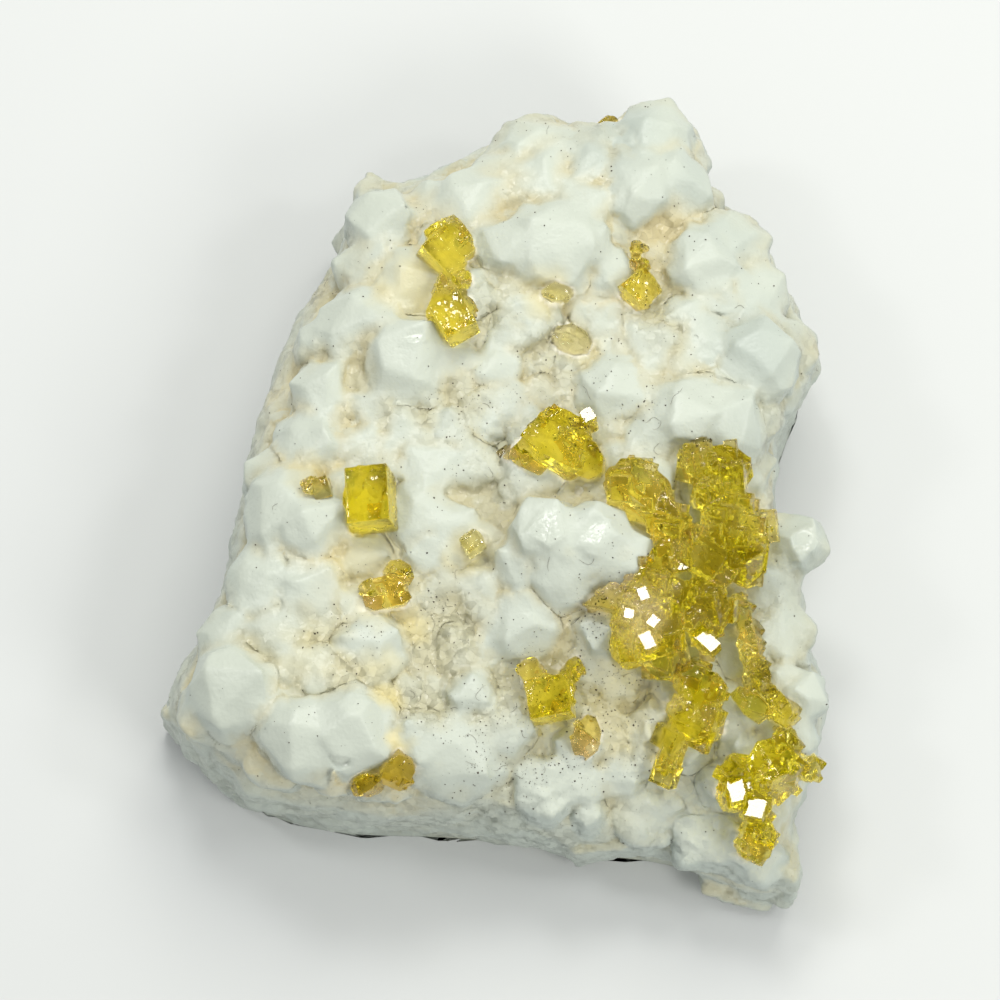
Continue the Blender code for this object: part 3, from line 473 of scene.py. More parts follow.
# What each point is like: in a hollow, low on the land, crusted with small crystals, or on fine ground.
hollow = ((relaxed(points, quads, points, 30) - points) * normals).sum(1)
hollow = np.clip(hollow / 0.35 + 0.4, 0, 1)
above = points[:, 2] - read_off(land, low, LAND_CELL, points[:, 0], points[:, 1])
low_lying = np.clip(0.5 - above / 2.4, 0, 1)
crust = np.clip(0.5 * hollow + 0.75 * low_lying + 0.3 * noise(points, 6, 3) - 0.15, 0.06, 1)
crust = relaxed(points, quads, crust, 4)[:, 0]
fine = patches(points, FINE_GROUND, 0.3, 3.0, 12, 1.5, 1.2)
grey = sum(share * place[4] for share, place in zip(fine, FINE_GROUND))
clear = fine.max(0)

# The little crystals, in three sizes, on ground that is uneven by itself.
large, large_tone = crowded(points, LARGE, 5, 0.2)
small, small_tone = crowded(points, SMALL, 6, 0.1)
growth = crust * (1.2 * large + 0.8 * small) + 0.5 * clear * small
growth += (0.04 + 0.25 * crust + 0.3 * clear) * crowded(points, SUGAR, 7)[0]
growth += 0.10 * noise(points, 1.7, 8)
growth -= growth[normals[:, 2] > 0.3].mean()
growth = np.clip(growth, -MOST_WORN, MOST_GROWN)
lift = np.clip((points[:, 2] - 0.4) / 1.5, 0, 1)
points = points + normals * (growth * lift)[:, None]
points[:, 2] = np.maximum(points[:, 2], 0)

# Its colours: painted shade, darker and warmer in some places and greyer in others, in hollows, seams and low
# ground;
# icy grey on steep sides near the rim, painted shade there, and a glassy tint on the listed rims; stained by
# iron in spots; painted light, near-white, against and under the barites.
seam = np.clip(0.6 - 1.5 * large, 0, 1) * 0.6 + np.clip(0.6 - 1.5 * small, 0, 1) * 0.4
seam *= np.clip(crust * 2, 0.25, 1)
rim = read_off(covered, low, LAND_CELL, points[:, 0], points[:, 1])
# Painted shade: steep faces near the rim get a darker, icy grey colour, as shaded sides; the listed glassy
# rims get the same colour as a glassy tint.
steep_side_shade_and_ice = np.clip(1.2 - normals[:, 2] * 1.6, 0, 1) * np.clip((0.95 - rim) * 3, 0, 1)
glassy = patches(points, GLASSY_RIMS, 0.35, 2.5, 13)
steep_side_shade_and_ice = np.maximum(steep_side_shade_and_ice, strongest(glassy, GLASSY_RIMS))
each = 0.5 * large_tone + 0.7 * small_tone - 0.6
# Painted shade: the colour grows darker, and greyer or warmer, in hollows, in the seams between little
# crystals and on low ground, where shade falls; each crystal's own tone, the grey fine ground and noise are
# mixed in.
hollow_shade_and_tone = 0.3 * hollow + 0.7 * low_lying + 0.5 * seam + 0.6 * grey + 0.9 * each * crust - 0.22
hollow_shade_and_tone = np.clip(hollow_shade_and_tone + 0.28 * noise(points, 4.5, 14), 0, 1)
warm = np.clip(0.4 + 0.9 * noise(points, 9.0, 15) - 0.6 * clear, 0, 1)
# Painted light: calcite within 0.35 mm of a barite, and under it, is made near-white so that it looks lit
# beneath the glassy barites.
painted_light_at_barites = np.clip(1.0 - distance_to(points, barites, 0.25, 1.5) / 0.35, 0, 1)
polish = np.zeros(len(points))
for *place, width, length, turn, sides in CLEAN_FACES:
    polish = np.maximum(polish, face_cut(points, np.array(place), width, length, turn, sides))
stain = strongest(patches(points, IRON_STAINS, 0.35, 1.3, 11), IRON_STAINS)
calcite = mesh_from("calcite_crystals", points, quads,
                    {"hollow_shade_and_tone": hollow_shade_and_tone, "warm": warm, "steep_side_shade_and_ice": steep_side_shade_and_ice, "painted_light_at_barites": painted_light_at_barites, "stain": stain,
                     "clear": clear, "polish": polish})
thinned(calcite, MOST_TRIANGLES)


def blend_of(tree, share, first, second):
    """The colour output that goes from first to second as share goes from 0 to 1."""
    mix = add(tree, "ShaderNodeMix", {"data_type": "RGBA"}, Factor=share)
    for socket, value in ((6, first), (7, second)):
        if isinstance(value, bpy.types.NodeSocket):
            tree.links.new(value, mix.inputs[socket])
        else:
            mix.inputs[socket].default_value = value
    return mix.outputs[2]


def reckon(tree, operation, first, second, third=0.0, clamp=False):
    """The output of a Math node on two or three numbers or outputs."""
    return add(tree, "ShaderNodeMath", {"operation": operation, "use_clamp": clamp},
               i0=first, i1=second, i2=third).outputs[0]


def sugary(tree, coords, scale, height, strength):
    """The Bump node of a sugary skin: every cell of a Voronoi pattern is a flat facet, whose height is
    its own random tilt times the way from its middle."""
    facets = add(tree, "ShaderNodeTexVoronoi", Vector=coords, Scale=scale)
    spot = add(tree, "ShaderNodeVectorMath", {"operation": "SUBTRACT"}, i0=coords,
               i1=facets.outputs["Position"])
    tilt = add(tree, "ShaderNodeVectorMath", {"operation": "SUBTRACT"}, i0=facets.outputs["Color"],
               i1=(0.5, 0.5, 0.5))
    slope = add(tree, "ShaderNodeVectorMath", {"operation": "DOT_PRODUCT"}, i0=spot.outputs[0],
                i1=tilt.outputs[0])
    return add(tree, "ShaderNodeBump", Distance=height, Height=slope.outputs["Value"], Strength=strength)


# Calcite, grown: milky, as it is full of tiny flaws, and waxy: only its clean faces shine. Painted shade
# makes it darker in hollows, seams and low ground, warmer or greyer where small crystals crowd, and icy
# grey down steep sides where a rim is thin; painted light makes it white against and under the barites;
# it is yellow where iron stained it.
# Painted shade: the grey and warm hollow colours darken hollows, seams and low ground as shade, and the icy
# grey darkens steep sides near the rim as shade, besides tinting the glassy rims.
MILK_WHITE, ICE_EDGE_SHADE, GREY_CREVICE_SHADE, WARM_CREVICE_SHADE = "#bbc1b5", "#a7b0a9", "#b6b397", "#c2b78f"
# Painted light: the near-white is laid on calcite against and under the barites, as if lit through them; the
# yellow is iron stain.
BARITE_LIGHT_WHITE, IRON_YELLOW = "#fcf8ea", "#d8c67c"
WAXY, POLISHED = 0.38, 0.24                # roughness
SUGAR_PER_M, GRAINS_PER_M = 1300.0, 2200.0 # facets 0.8 mm across, and an etched grain of 0.45 mm
milky, tree = new_material("milky_calcite_grown")
coords = add(tree, "ShaderNodeTexCoord").outputs["Object"]
marks = {name: add(tree, "ShaderNodeAttribute", {"attribute_name": name}).outputs["Fac"]
         for name in ("hollow_shade_and_tone", "warm", "steep_side_shade_and_ice", "painted_light_at_barites", "stain", "clear", "polish")}
# Painted shade: the hollow colours come in as hollows, seams and low ground grow darker, over the milk white
# and each crystal's own tone.
shaded_crevice = blend_of(tree, marks["warm"], linear(GREY_CREVICE_SHADE), linear(WARM_CREVICE_SHADE))
face = blend_of(tree, marks["hollow_shade_and_tone"], linear(MILK_WHITE), shaded_crevice)
# Painted shade down the steep sides near the rim, in an icy grey that is also a glassy tint.
tone = blend_of(tree, reckon(tree, "MULTIPLY", marks["steep_side_shade_and_ice"], 0.85), face, linear(ICE_EDGE_SHADE))
tone = blend_of(tree, marks["stain"], tone, linear(IRON_YELLOW))
# Painted light: near-white on the calcite against and under the barites.
tone = blend_of(tree, reckon(tree, "MULTIPLY", marks["painted_light_at_barites"], 0.9), tone, linear(BARITE_LIGHT_WHITE))
rough = reckon(tree, "MULTIPLY_ADD", marks["polish"], POLISHED - WAXY, WAXY)
rough = reckon(tree, "MULTIPLY_ADD", marks["hollow_shade_and_tone"], -0.1, rough)
sugariness = reckon(tree, "MULTIPLY", marks["hollow_shade_and_tone"], 0.75)
sugariness = reckon(tree, "MULTIPLY_ADD", marks["clear"], 0.5, sugariness, True)
bump = sugary(tree, coords, SUGAR_PER_M, 1.0, sugariness)
grain = add(tree, "ShaderNodeTexNoise", Vector=coords, Scale=GRAINS_PER_M, Detail=1.0)
bump = add(tree, "ShaderNodeBump", Strength=0.25, Distance=0.0002, Height=grain.outputs["Fac"],
           Normal=bump.outputs["Normal"])
shader = add(tree, "ShaderNodeBsdfPrincipled", Base_Color=tone, Roughness=rough, IOR=1.5,
             Normal=bump.outputs["Normal"])
add(tree, "ShaderNodeOutputMaterial", Surface=shader.outputs["BSDF"])
calcite.data.materials.append(milky)
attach(calcite, "root")
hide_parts("calcite_matrix")


# ---------------------------------------------------------------------------
# Barites: clear tabular crystals of barium sulphate, honey-yellow from iron, that
# grew in sixteen groups on the calcite and stand rooted in it. Each is a stack of
# stepped blocks, sugary in places, with a few flat faces that flash.
# ---------------------------------------------------------------------------
BARITE_IOR = 1.64
FACETS_PER_M = 2600.0                      # sugary facets 0.4 mm across
FACET_TILT = 1.1                           # height gained a metre, at the most tilted
RIB_PER_M, RIB_HEIGHT = 4200.0, 0.00006    # growth lines 0.25 mm apart
AMBER = "#e0cf50"


def clear_barite(name, tint, depth_tint, density):
    """Clear crystal that darkens with depth: tint at the surface, or AMBER where it holds more iron,
    and depth_tint inside at that density a metre. Its sugary and frosted skin scatters light."""
    material, tree = new_material(name)
    coords = add(tree, "ShaderNodeTexCoord").outputs["Object"]
    sugar, frost, amber = (add(tree, "ShaderNodeAttribute", {"attribute_name": key}).outputs["Fac"]
                           for key in ("sugar", "frost", "amber"))
    bump = sugary(tree, coords, FACETS_PER_M, FACET_TILT, reckon(tree, "MULTIPLY_ADD", sugar, 0.9, 0.1, True))
    lines = add(tree, "ShaderNodeMapping", Vector=coords, Rotation=(0.5, 0.3, 0.8),
                Scale=(250.0, 250.0, RIB_PER_M))
    ribs = add(tree, "ShaderNodeTexNoise", Vector=lines.outputs[0], Scale=1.0, Detail=0.0)
    ribbed = reckon(tree, "MULTIPLY", reckon(tree, "MULTIPLY_ADD", sugar, 2.0, 0.4, True), 0.4)
    bump = add(tree, "ShaderNodeBump", Distance=RIB_HEIGHT, Height=ribs.outputs["Fac"], Strength=ribbed,
               Normal=bump.outputs["Normal"])
    frosted = reckon(tree, "MULTIPLY_ADD", frost, -0.18, 1.0)
    shader = add(tree, "ShaderNodeBsdfPrincipled", IOR=BARITE_IOR, Normal=bump.outputs["Normal"],
                 Base_Color=blend_of(tree, amber, linear(tint), linear(AMBER)),
                 Roughness=reckon(tree, "MULTIPLY_ADD", sugar, 0.05, 0.014),
                 Transmission_Weight=reckon(tree, "MULTIPLY_ADD", sugar, -0.04, frosted, True))
    inside = add(tree, "ShaderNodeVolumeAbsorption", Color=linear(depth_tint), Density=density)
    add(tree, "ShaderNodeOutputMaterial", Surface=shader.outputs["BSDF"], Volume=inside.outputs[0])
    return material


BOX_CORNERS = np.array(list(product((-1, 1), repeat=3)))
BOX_SIDES = np.array([(0, 1, 3, 2), (4, 6, 7, 5), (0, 4, 5, 1), (2, 3, 7, 6), (0, 2, 6, 4), (1, 5, 7, 3)])


def blocks_on(corners, triangles, count, sizes, seed):
    """Little blocks half sunk in a surface, as points and quads: centres fall on the triangles by
    their area, half-sides are drawn between the two sizes, and every block is turned the same way
    to within a few degrees, as crystals growing on one host are."""
    chance = np.random.default_rng(seed)
    a, b, c = (corners[triangles[:, i]] for i in range(3))
    across = np.cross(b - a, c - a)
    area = np.linalg.norm(across, axis=1)
    pick = chance.choice(len(triangles), count, p=area / area.sum())
    u, v = np.sqrt(chance.random(count)), chance.random(count)
    centres = a[pick] * (1 - u)[:, None] + b[pick] * (u * (1 - v))[:, None] + c[pick] * (u * v)[:, None]
    half = sizes[0] + (sizes[1] - sizes[0]) * chance.random((count, 1)) ** 2
    centres -= (across / np.maximum(area, 1e-9)[:, None])[pick] * half * 0.45
    sides = half * chance.uniform([0.7, 0.6, 0.35], [1.3, 1.0, 0.7], (count, 3))
    host = np.linalg.qr(chance.normal(size=(3, 3)))[0]
    turn = np.linalg.qr(host + chance.normal(0, 0.12, (count, 3, 3)))[0]
    points = centres[:, None] + np.einsum("nij,nkj->nki", turn, BOX_CORNERS[None] * sides[:, None])
    return points.reshape(-1, 3), (BOX_SIDES[None] + 8 * np.arange(count)[:, None, None]).reshape(-1, 4)


def foremost(body, voxel, place):
    """The first point inside a body, in mm, on the way from the eye to a place and past it."""
    way = (np.array(EYE) - place) / np.linalg.norm(np.array(EYE) - place)
    for step in np.arange(5, -5, -0.1):
        spot = place + way * step
        if body.getValue(tuple(int(v) for v in np.round(spot / voxel))) < 0:
            break
    return spot


def upright_block(place, wide, long, tall, turn):
    """A block whose top, leaning 0.2 radian, stands 0.3 mm above place, turned by turn radians."""
    side = np.array([math.cos(turn), math.sin(turn), 0.2 * math.sin(3 * turn + 1)])
    side /= np.linalg.norm(side)
    fore = np.cross((0.15 * math.cos(5 * turn), 0, 1), side)
    fore /= np.linalg.norm(fore)
    up = np.cross(side, fore)
    axes = np.stack([side * wide, fore * long, up * tall])
    return place + up * (0.3 - tall) + BOX_CORNERS @ axes, BOX_SIDES


def facing_block(place, wide, long, turn):
    """A block 1.6 mm thick whose outer face, FACE_RISE above place, mirrors the key lamp."""
    axes = facing_axes(place, turn)
    return place - axes[2] * 0.3 + BOX_CORNERS * (wide, long, 0.8) @ axes, BOX_SIDES


def near_face(points, reach, place, wide, long, turn):
    """Which points lie within reach mm of a facing block's outer face."""
    offset = np.abs((points - place) @ facing_axes(place, turn).T - (0, 0, FACE_RISE))
    return (offset < (wide + reach, long + reach, reach)).all(1)


def made_plain(piece, place, wide, long, turn):
    """Brings a facing block's outer face exactly onto its plane, shades it and what adjoins it as
    flat facets, and takes the sugar off it."""
    mesh, up = piece.data, facing_axes(place, turn)[2]
    points = np.empty(len(mesh.vertices) * 3)
    mesh.vertices.foreach_get("co", points)
    points = points.reshape(-1, 3) / MM
    on_it = near_face(points, 0.08, place, wide, long, turn)
    points[on_it] -= ((points[on_it] - place) @ up - FACE_RISE)[:, None] * up
    mesh.vertices.foreach_set("co", points.ravel() * MM)
    mesh.update()
    sugar = np.empty(len(points))
    mesh.attributes["sugar"].data.foreach_get("value", sugar)
    sugar[near_face(points, 0.12, place, wide, long, turn)] = -0.2
    mesh.attributes["sugar"].data.foreach_set("value", sugar)
    middles = np.empty(len(mesh.polygons) * 3)
    mesh.polygons.foreach_get("center", middles)
    flat = near_face(middles.reshape(-1, 3) / MM, 0.3, place, wide, long, turn)
    smooth = np.empty(len(flat), bool)
    mesh.polygons.foreach_get("use_smooth", smooth)
    mesh.polygons.foreach_set("use_smooth", smooth & ~flat)


# Barite, grown: as clear as thick glass and brighter, since it bends light more. Thin edges look
# pale and thick middles honey-yellow, because iron takes the blue from light that goes deep.
honey = clear_barite("honey_barite_grown", "#ffecc4", "#ffff00", 290.0)
pale = clear_barite("pale_barite_grown", "#fff8dc", "#fffd30", 150.0)
brown = clear_barite("brown_barite_grown", "#fbe8b8", "#f8f008", 330.0)
thick = clear_barite("thick_honey_barite_grown", "#ffecc4", "#ffff00", 195.0)
yellow = clear_barite("yellow_barite_grown", "#ffecc4", "#ffff00", 270.0)
FINISHES = {"honey_barite": honey, "pale_barite": pale, "brown_barite": brown,
            "main": thick, "lower_left": yellow, "drop": yellow, "left_chip": yellow}
BARITE_SLOTS = {
    "honey_barite": ("upper_left", "upper_right", "centre", "left", "horned", "main", "lower", "edge"),
    "pale_barite": ("pale_blade", "pale_chip", "left_chip", "lower_left", "mid_chip", "drop"),
    "brown_barite": ("far_edge", "foot"),
}

BARITE_VOXEL, BARITE_BLUNT = 0.1, 0.045
ROOM = 0.2                                 # voxel of the coarser field that finds a group's face
GRIT, FROST_GRIT = 0.55, 0.9               # mm from one grain of its skin to the next
UPRIGHT = {                                # x, y, z, three half-sizes in mm, and turn
    "upper_left": ((-4.8, 22.6, 22.0, 2.0, 2.0, 1.8, 2.35), (-4.3, 15.4, 22.0, 1.7, 2.0, 1.7, 0.5)),
    "left": ((-12.9, -2.9, 19.6, 2.15, 2.9, 2.4, 0.06),),
    "horned": ((5.2, -24.2, 20.0, 2.1, 2.0, 1.6, 0.15),),
    "pale_chip": ((7.6, 12.4, 22.2, 1.3, 1.0, 1.2, 0.5), (6.6, 13.3, 22.2, 0.6, 1.0, 1.2, 0.2)),
    "pale_blade": ((5.6, 17.7, 22.6, 0.9, 0.6, 0.9, 0.2), (4.2, 17.8, 22.4, 0.7, 0.5, 0.8, 0.7)),
    "left_chip": ((-17.6, -2.0, 18.6, 0.9, 1.1, 1.0, 0.3),),
    "mid_chip": ((-2.3, -9.0, 22.6, 1.0, 0.9, 0.9, 0.6),),
}
BLOCKS = {                                 # blocks a mm2, and least and most half-size in mm
    "main": (0.3, 0.35, 1.4), "horned": (0.2, 0.3, 0.9), "edge": (0.25, 0.35, 1.4),
    "lower": (0.18, 0.4, 1.4), "centre": (0.1, 0.3, 1.0), "left": (0.02, 0.3, 0.6),
    "upper_left": (0.15, 0.3, 0.9), "foot": (0.15, 0.4, 1.1),
}
PLAIN_BLOCKS = (0.12, 0.3, 1.0)            # for the other groups
FROSTED = {                                # x, y, z and reach in mm
    "main": ((14.2, -17.0, 25.9, 3.2), (12.0, -13.5, 24.5, 2.0)), "lower": ((17.5, -24.5, 21.0, 1.5),),
}
AMBER_PARTS = {                            # x, y, z and reach in mm
    "main": ((23.0, -2.0, 22.0, 3.5), (24.0, -10.0, 22.0, 3.0), (19.5, -16.0, 22.5, 2.5)),
    "centre": ((5.0, 1.5, 22.5, 2.0), (9.5, 0.5, 22.0, 1.8)), "foot": ((-13.0, -32.0, 19.5, 2.0),),
    "lower": ((20.0, -24.0, 20.5, 2.0),),
}
BARITE_FACES = {                           # x, y, z, half-width and half-length in mm, and turn
    "edge": ((23.9, -33.6, 18.6, 0.8, 1.2, 0.2), (25.7, -35.2, 17.9, 1.0, 1.0, -0.3)),
    "centre": ((9.3, 4.0, 23.4, 0.65, 0.7, 0.5),),
    "main": ((20.9, -19.4, 23.2, 0.7, 1.4, 0.75), (14.6, -15.6, 26.2, 0.5, 0.7, 0.3),
             (15.6, -18.4, 26.0, 0.6, 0.5, 0.9), (13.2, -17.6, 26.0, 0.5, 0.5, -0.2),
             (15.0, -20.2, 25.4, 0.6, 0.9, 0.4)),
}


def blocks_of(name, corners, triangles, seed):
    """A group's blocks as points and quads: random ones all over it, and those listed, with
    no other near a mirror face. Then a place and reach for each upright block, and each mirror face
    by its place, half-width, half-length and turn."""
    a, b, c = (corners[triangles[:, i]] for i in range(3))
    area = np.linalg.norm(np.cross(b - a, c - a), axis=1).sum() / 2
    thickly, *sizes = BLOCKS.get(name, PLAIN_BLOCKS)
    blocks, quads = blocks_on(corners, triangles, int(area * thickly), sizes, seed)
    body = field_of(corners, triangles, ROOM, 6.0).getConstAccessor()
    upright, mirrors = [], []
    for *place, wide, long, tall, turn in UPRIGHT.get(name, ()):
        place = foremost(body, ROOM, np.array(place))
        more, sides = upright_block(place, wide, long, tall, turn)
        quads = np.concatenate([quads, sides + len(blocks)])
        blocks = np.concatenate([blocks, more])
        upright.append((place, max(wide, long) + 0.3))
    for *place, wide, long, turn in BARITE_FACES.get(name, ()):
        place = foremost(body, ROOM, np.array(place))
        away = np.linalg.norm(blocks[quads.reshape(-1, 24)].mean(1) - place, axis=1)
        quads = quads[np.repeat(away > 0.8 * max(wide, long) + 0.9, 6)]
        more, sides = facing_block(place, wide, long, turn)
        quads = np.concatenate([quads, sides + len(blocks)])
        blocks = np.concatenate([blocks, more])
        mirrors.append((place, wide, long, turn))
    return blocks, quads, upright, mirrors


for slot, names in BARITE_SLOTS.items():
    for seed, name in enumerate(names):
        node = "barite_" + name
        corners, triangles = triangles_of(node)
        blocks, block_quads, upright, mirrors = blocks_of(name, corners, triangles, seed + 20)
        field = openvdb.FloatGrid.createLevelSetFromPolygons(
            np.concatenate([corners, blocks]).astype(np.float32), triangles=triangles.astype(np.uint32),
            quads=(block_quads + len(corners)).astype(np.uint32),
            transform=openvdb.createLinearTransform(voxelSize=BARITE_VOXEL), halfWidth=5)
        values, first = grid_of(field)
        values = cleared(values, first, BARITE_VOXEL, mirrors)
        points, quads = blunted(values, first, BARITE_VOXEL, BARITE_BLUNT, 0.0)
        normals = normals_of(points, quads)
        frost = patches(points, FROSTED.get(name, ()), 0.5, 1.2, seed + 3).max(0, initial=0)
        sugar = np.clip(1.6 * noise(points, 2.6, seed) + 0.6 * noise(points, 1.1, seed + 9) - 0.3, 0, 1)
        sugar = np.maximum(sugar, frost)
        for place, reach in upright:
            sugar = np.where(np.linalg.norm(points - place, axis=1) < reach, np.minimum(sugar, 0.2), sugar)
        amber = np.clip(1.1 * noise(points, 2.4, seed + 5) - 0.1, 0, 1) * (1 - frost)
        iron = patches(points, AMBER_PARTS.get(name, ()), 0.4, 1.5, seed + 6).max(0, initial=0)
        amber = np.maximum(amber, iron) * (0.3 if slot == "pale_barite" else 1.0)
        growth = (0.04 + 0.14 * sugar) * crowded(points, GRIT, seed + 1)[0]
        growth += 0.35 * frost * crowded(points, FROST_GRIT, seed + 2, 0.1)[0]
        growth = np.clip(growth - growth.mean(), -0.14, 0.25)
        for mirror in mirrors:
            growth[near_face(points, 0.25, *mirror)] = 0
        points = points + normals * growth[:, None]
        piece = mesh_from("clear_" + node, points, quads, {"sugar": sugar, "frost": frost, "amber": amber})
        thinned(piece, max(8000, len(quads)))
        for mirror in mirrors:
            made_plain(piece, *mirror)
        piece.data.materials.append(FINISHES.get(name, FINISHES[slot]))
        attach(piece, "root")
        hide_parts(node)


# ---------------------------------------------------------------------------
# Dust and lint: black grains of ore from where the specimen was broken out, and
# short grey threads from a cloth. They lie loose on the crystals, thickest in the
# hollows of the lower right and on the barites.
# ---------------------------------------------------------------------------
def settled_on(obj, count, weight, seed):
    """count random places on an object's upward faces, as points and normals in mm: a face is picked
    by its area times weight(points)."""
    mesh = obj.data
    mesh.calc_loop_triangles()
    points = np.empty(len(mesh.vertices) * 3)
    mesh.vertices.foreach_get("co", points)
    points = points.reshape(-1, 3) / MM
    corners = np.empty(len(mesh.loop_triangles) * 3, np.int32)
    mesh.loop_triangles.foreach_get("vertices", corners)
    a, b, c = points[corners.reshape(-1, 3).T]
    across = np.cross(b - a, c - a)
    area = np.linalg.norm(across, axis=1)
    normals = across / np.maximum(area, 1e-9)[:, None]
    share = area * np.clip(normals[:, 2] - 0.25, 0, 1) * weight((a + b + c) / 3)
    chance = np.random.default_rng(seed)
    pick = chance.choice(len(area), count, p=share / share.sum())
    u, v = chance.random((2, count, 1))
    u = np.sqrt(u)
    return (a[pick] * (1 - u) + b[pick] * u * (1 - v) + c[pick] * u * v), normals[pick]


def grains_at(places, normals, sizes, seed):
    """An eight-faced grain at each place, stretched and turned at random, resting on the face."""
    chance = np.random.default_rng(seed)
    count = len(places)
    half = sizes[0] + (sizes[1] - sizes[0]) * chance.random((count, 1)) ** 3
    tips = np.array([(1, 0, 0), (-1, 0, 0), (0, 1, 0), (0, -1, 0), (0, 0, 1), (0, 0, -1)], float)
    turn = np.linalg.qr(chance.normal(size=(count, 3, 3)))[0]
    turn[np.linalg.det(turn) < 0] *= -1
    shape = tips * (half * chance.uniform(0.5, 1.4, (count, 3)))[:, None]
    points = places[:, None] + normals[:, None] * half[:, None] * 0.3 + np.einsum("nij,nkj->nki", turn, shape)
    faces = np.array([(0, 2, 4), (2, 1, 4), (1, 3, 4), (3, 0, 4), (2, 0, 5), (1, 2, 5), (3, 1, 5), (0, 3, 5)])
    return points.reshape(-1, 3), (faces + 6 * np.arange(count)[:, None, None]).reshape(-1, 3)


def joined_mesh(name, parts, material):
    """One object from several (points, faces) in mm, riding on the specimen."""
    starts = np.cumsum([0] + [len(p) for p, _ in parts[:-1]])
    faces = [row for (_, f), start in zip(parts, starts) for row in (f + start).tolist()]
    obj = mesh_from(name, np.concatenate([p for p, _ in parts]), faces, {})
    obj.data.polygons.foreach_set("use_smooth", np.zeros(len(faces), bool))
    obj.data.materials.append(material)
    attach(obj, "root")
    return obj


DUST_DRIFTS = (                            # x, y, z, reach in mm, and strength
    (4.5, -27.0, 20.0, 6.0, 5.0), (12.6, -21.0, 20.0, 4.0, 5.0), (15.5, -31.0, 19.0, 5.0, 4.0),
    (9.0, -15.5, 21.0, 4.0, 4.0), (-1.0, -32.0, 18.0, 5.0, 5.0), (-6.0, -14.1, 19.6, 4.0, 3.0),
    (0.0, 3.0, 21.0, 6.0, 2.0), (-14.4, -19.0, 22.0, 3.0, 3.0), (14.0, 8.0, 22.0, 5.0, 2.0),
)
GRAINS, GRAIN_SIZES = 2800, (0.025, 0.1)   # on the calcite, and half-sizes in mm


def drifted(points):
    """How thick the dust lies: 0.35 all over, and more within reach of each drift."""
    total = np.full(len(points), 0.35)
    for *place, reach, strength in DUST_DRIFTS:
        total += strength * np.exp(-(np.linalg.norm(points - place, axis=1) / reach) ** 2)
    return total * np.clip(0.5 + noise(points, 2.0, 31), 0.02, 1.5)


def evenly(points):
    """The same everywhere, but for patches of noise 1.5 mm across."""
    return np.clip(0.4 + noise(points, 1.5, 32), 0.05, 1)


# Sulphide ore, crushed: dull black with brown grains among it.
ore, tree = new_material("black_ore_dust")
coords = add(tree, "ShaderNodeTexCoord")
specks = add(tree, "ShaderNodeTexNoise", Vector=coords.outputs["Object"], Scale=900.0)  # 1.1 mm
tone = blend_of(tree, specks.outputs["Fac"], linear("#14110c"), linear("#57493a"))
shader = add(tree, "ShaderNodeBsdfPrincipled", Base_Color=tone, Roughness=0.75)
add(tree, "ShaderNodeOutputMaterial", Surface=shader.outputs["BSDF"])
DUSTY_BARITES = {"centre": 150, "main": 260, "upper_left": 50, "upper_right": 30, "horned": 50,
                 "left": 25, "lower": 40, "edge": 70, "foot": 25, "lower_left": 12}
grains = [grains_at(*settled_on(calcite, GRAINS, drifted, 41), GRAIN_SIZES, 42)]
for name, count in DUSTY_BARITES.items():
    host = bpy.data.objects["clear_barite_" + name]
    grains.append(grains_at(*settled_on(host, count, evenly, count), GRAIN_SIZES, count))
joined_mesh("dust_grains", grains, ore)


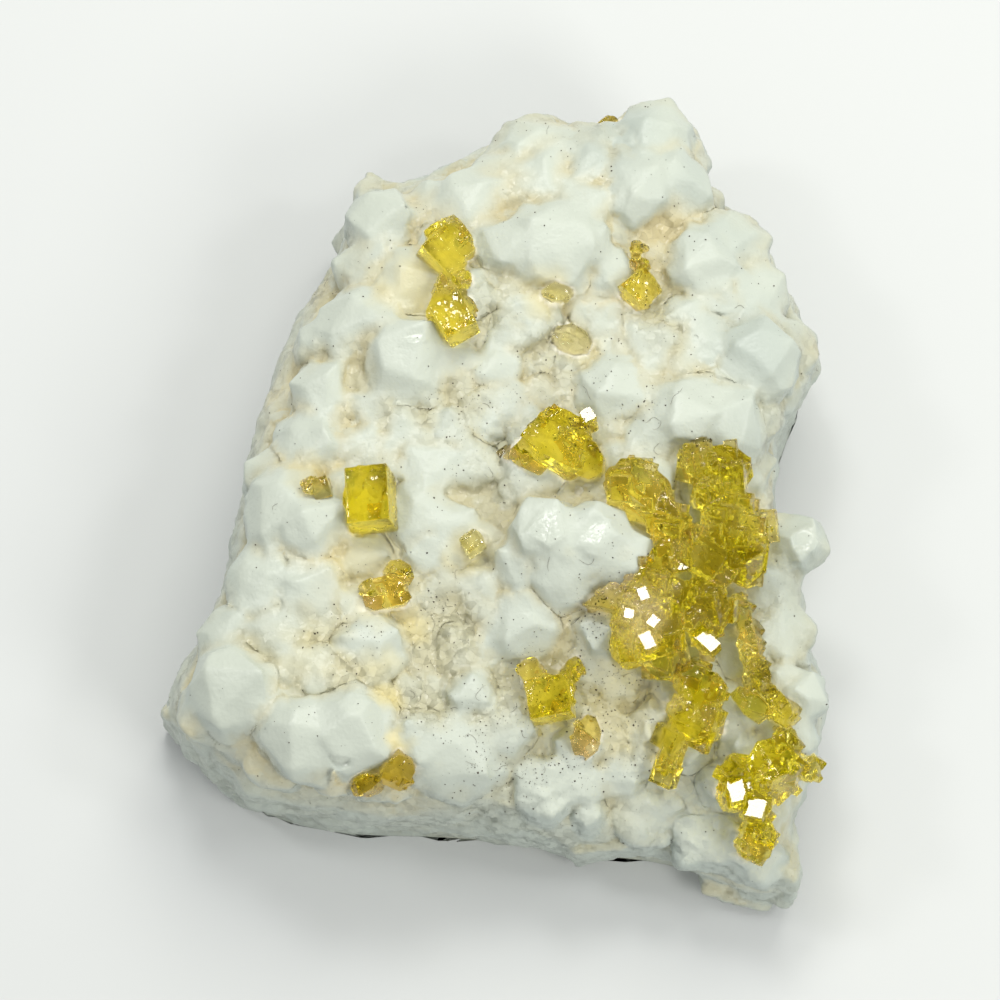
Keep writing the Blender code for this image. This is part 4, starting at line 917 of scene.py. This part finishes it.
def threads_on(places, normals, lengths, radius, seed):
    """A three-sided thread through each place: a curl of that length in the face's plane, whose
    heading swings by up to a radian and a half, with the ends drawn together."""
    chance = np.random.default_rng(seed)
    count, rings = len(places), 11
    along = np.linspace(-0.5, 0.5, rings)
    length = chance.uniform(*lengths, (count, 1))
    side = np.cross(normals, chance.normal(size=(count, 3)))
    side /= np.linalg.norm(side, axis=1, keepdims=True)
    fore = np.cross(side, normals)
    heading = chance.uniform(-1.6, 1.6, (count, 1)) * along * 2 + chance.uniform(0, 0.5, (count, 1)) * np.sin(
        along * 9 + chance.uniform(0, 6, (count, 1)))
    x, y = (np.cumsum(f(heading), axis=1) * length / rings for f in (np.cos, np.sin))
    x, y = x - x.mean(1, keepdims=True), y - y.mean(1, keepdims=True)
    lift = 0.05 + 0.1 * np.abs(along)[None]
    middle = places[:, None] + fore[:, None] * x[..., None] + side[:, None] * y[..., None] \
        + normals[:, None] * lift[..., None]
    ahead = np.gradient(middle, axis=1)
    ahead /= np.linalg.norm(ahead, axis=2, keepdims=True)
    up = normals[:, None] - ahead * (ahead * normals[:, None]).sum(2, keepdims=True)
    up /= np.linalg.norm(up, axis=2, keepdims=True)
    across = np.cross(ahead, up)
    thin = radius * np.clip(1.4 - (2 * np.abs(along)) ** 4, 0.4, 1)[None, :, None]
    ring = [middle + thin * (math.cos(turn) * up + math.sin(turn) * across) for turn in (0, 2.0944, 4.1888)]
    points = np.stack(ring, axis=2)
    r, k = np.meshgrid(np.arange(rings - 1), np.arange(3), indexing="ij")
    here, there = r * 3 + k, r * 3 + (k + 1) % 3
    first = np.stack([here, here + 3, there], axis=-1).reshape(-1, 3)
    second = np.stack([here + 3, there + 3, there], axis=-1).reshape(-1, 3)
    last = 3 * (rings - 1)
    faces = np.concatenate([first, second, [(0, 1, 2), (last, last + 2, last + 1)]])
    return points.reshape(-1, 3), (faces + 3 * rings * np.arange(count)[:, None, None]).reshape(-1, 3)


# Cotton lint, spun and worn off: matt, and from dark to pale grey along one thread.
THREADS, THREAD_LENGTHS, THREAD_RADIUS = 45, (0.8, 2.6), 0.016
lint, tree = new_material("grey_lint")
coords = add(tree, "ShaderNodeTexCoord")
dye = add(tree, "ShaderNodeTexNoise", Vector=coords.outputs["Object"], Scale=220.0)     # 4.5 mm
tone = blend_of(tree, dye.outputs["Fac"], linear("#2c2a26"), linear("#8b8170"))
shader = add(tree, "ShaderNodeBsdfPrincipled", Base_Color=tone, Roughness=0.8)
add(tree, "ShaderNodeOutputMaterial", Surface=shader.outputs["BSDF"])
threads = threads_on(*settled_on(calcite, THREADS, drifted, 51), THREAD_LENGTHS, THREAD_RADIUS, 52)
joined_mesh("lint_threads", [threads], lint)
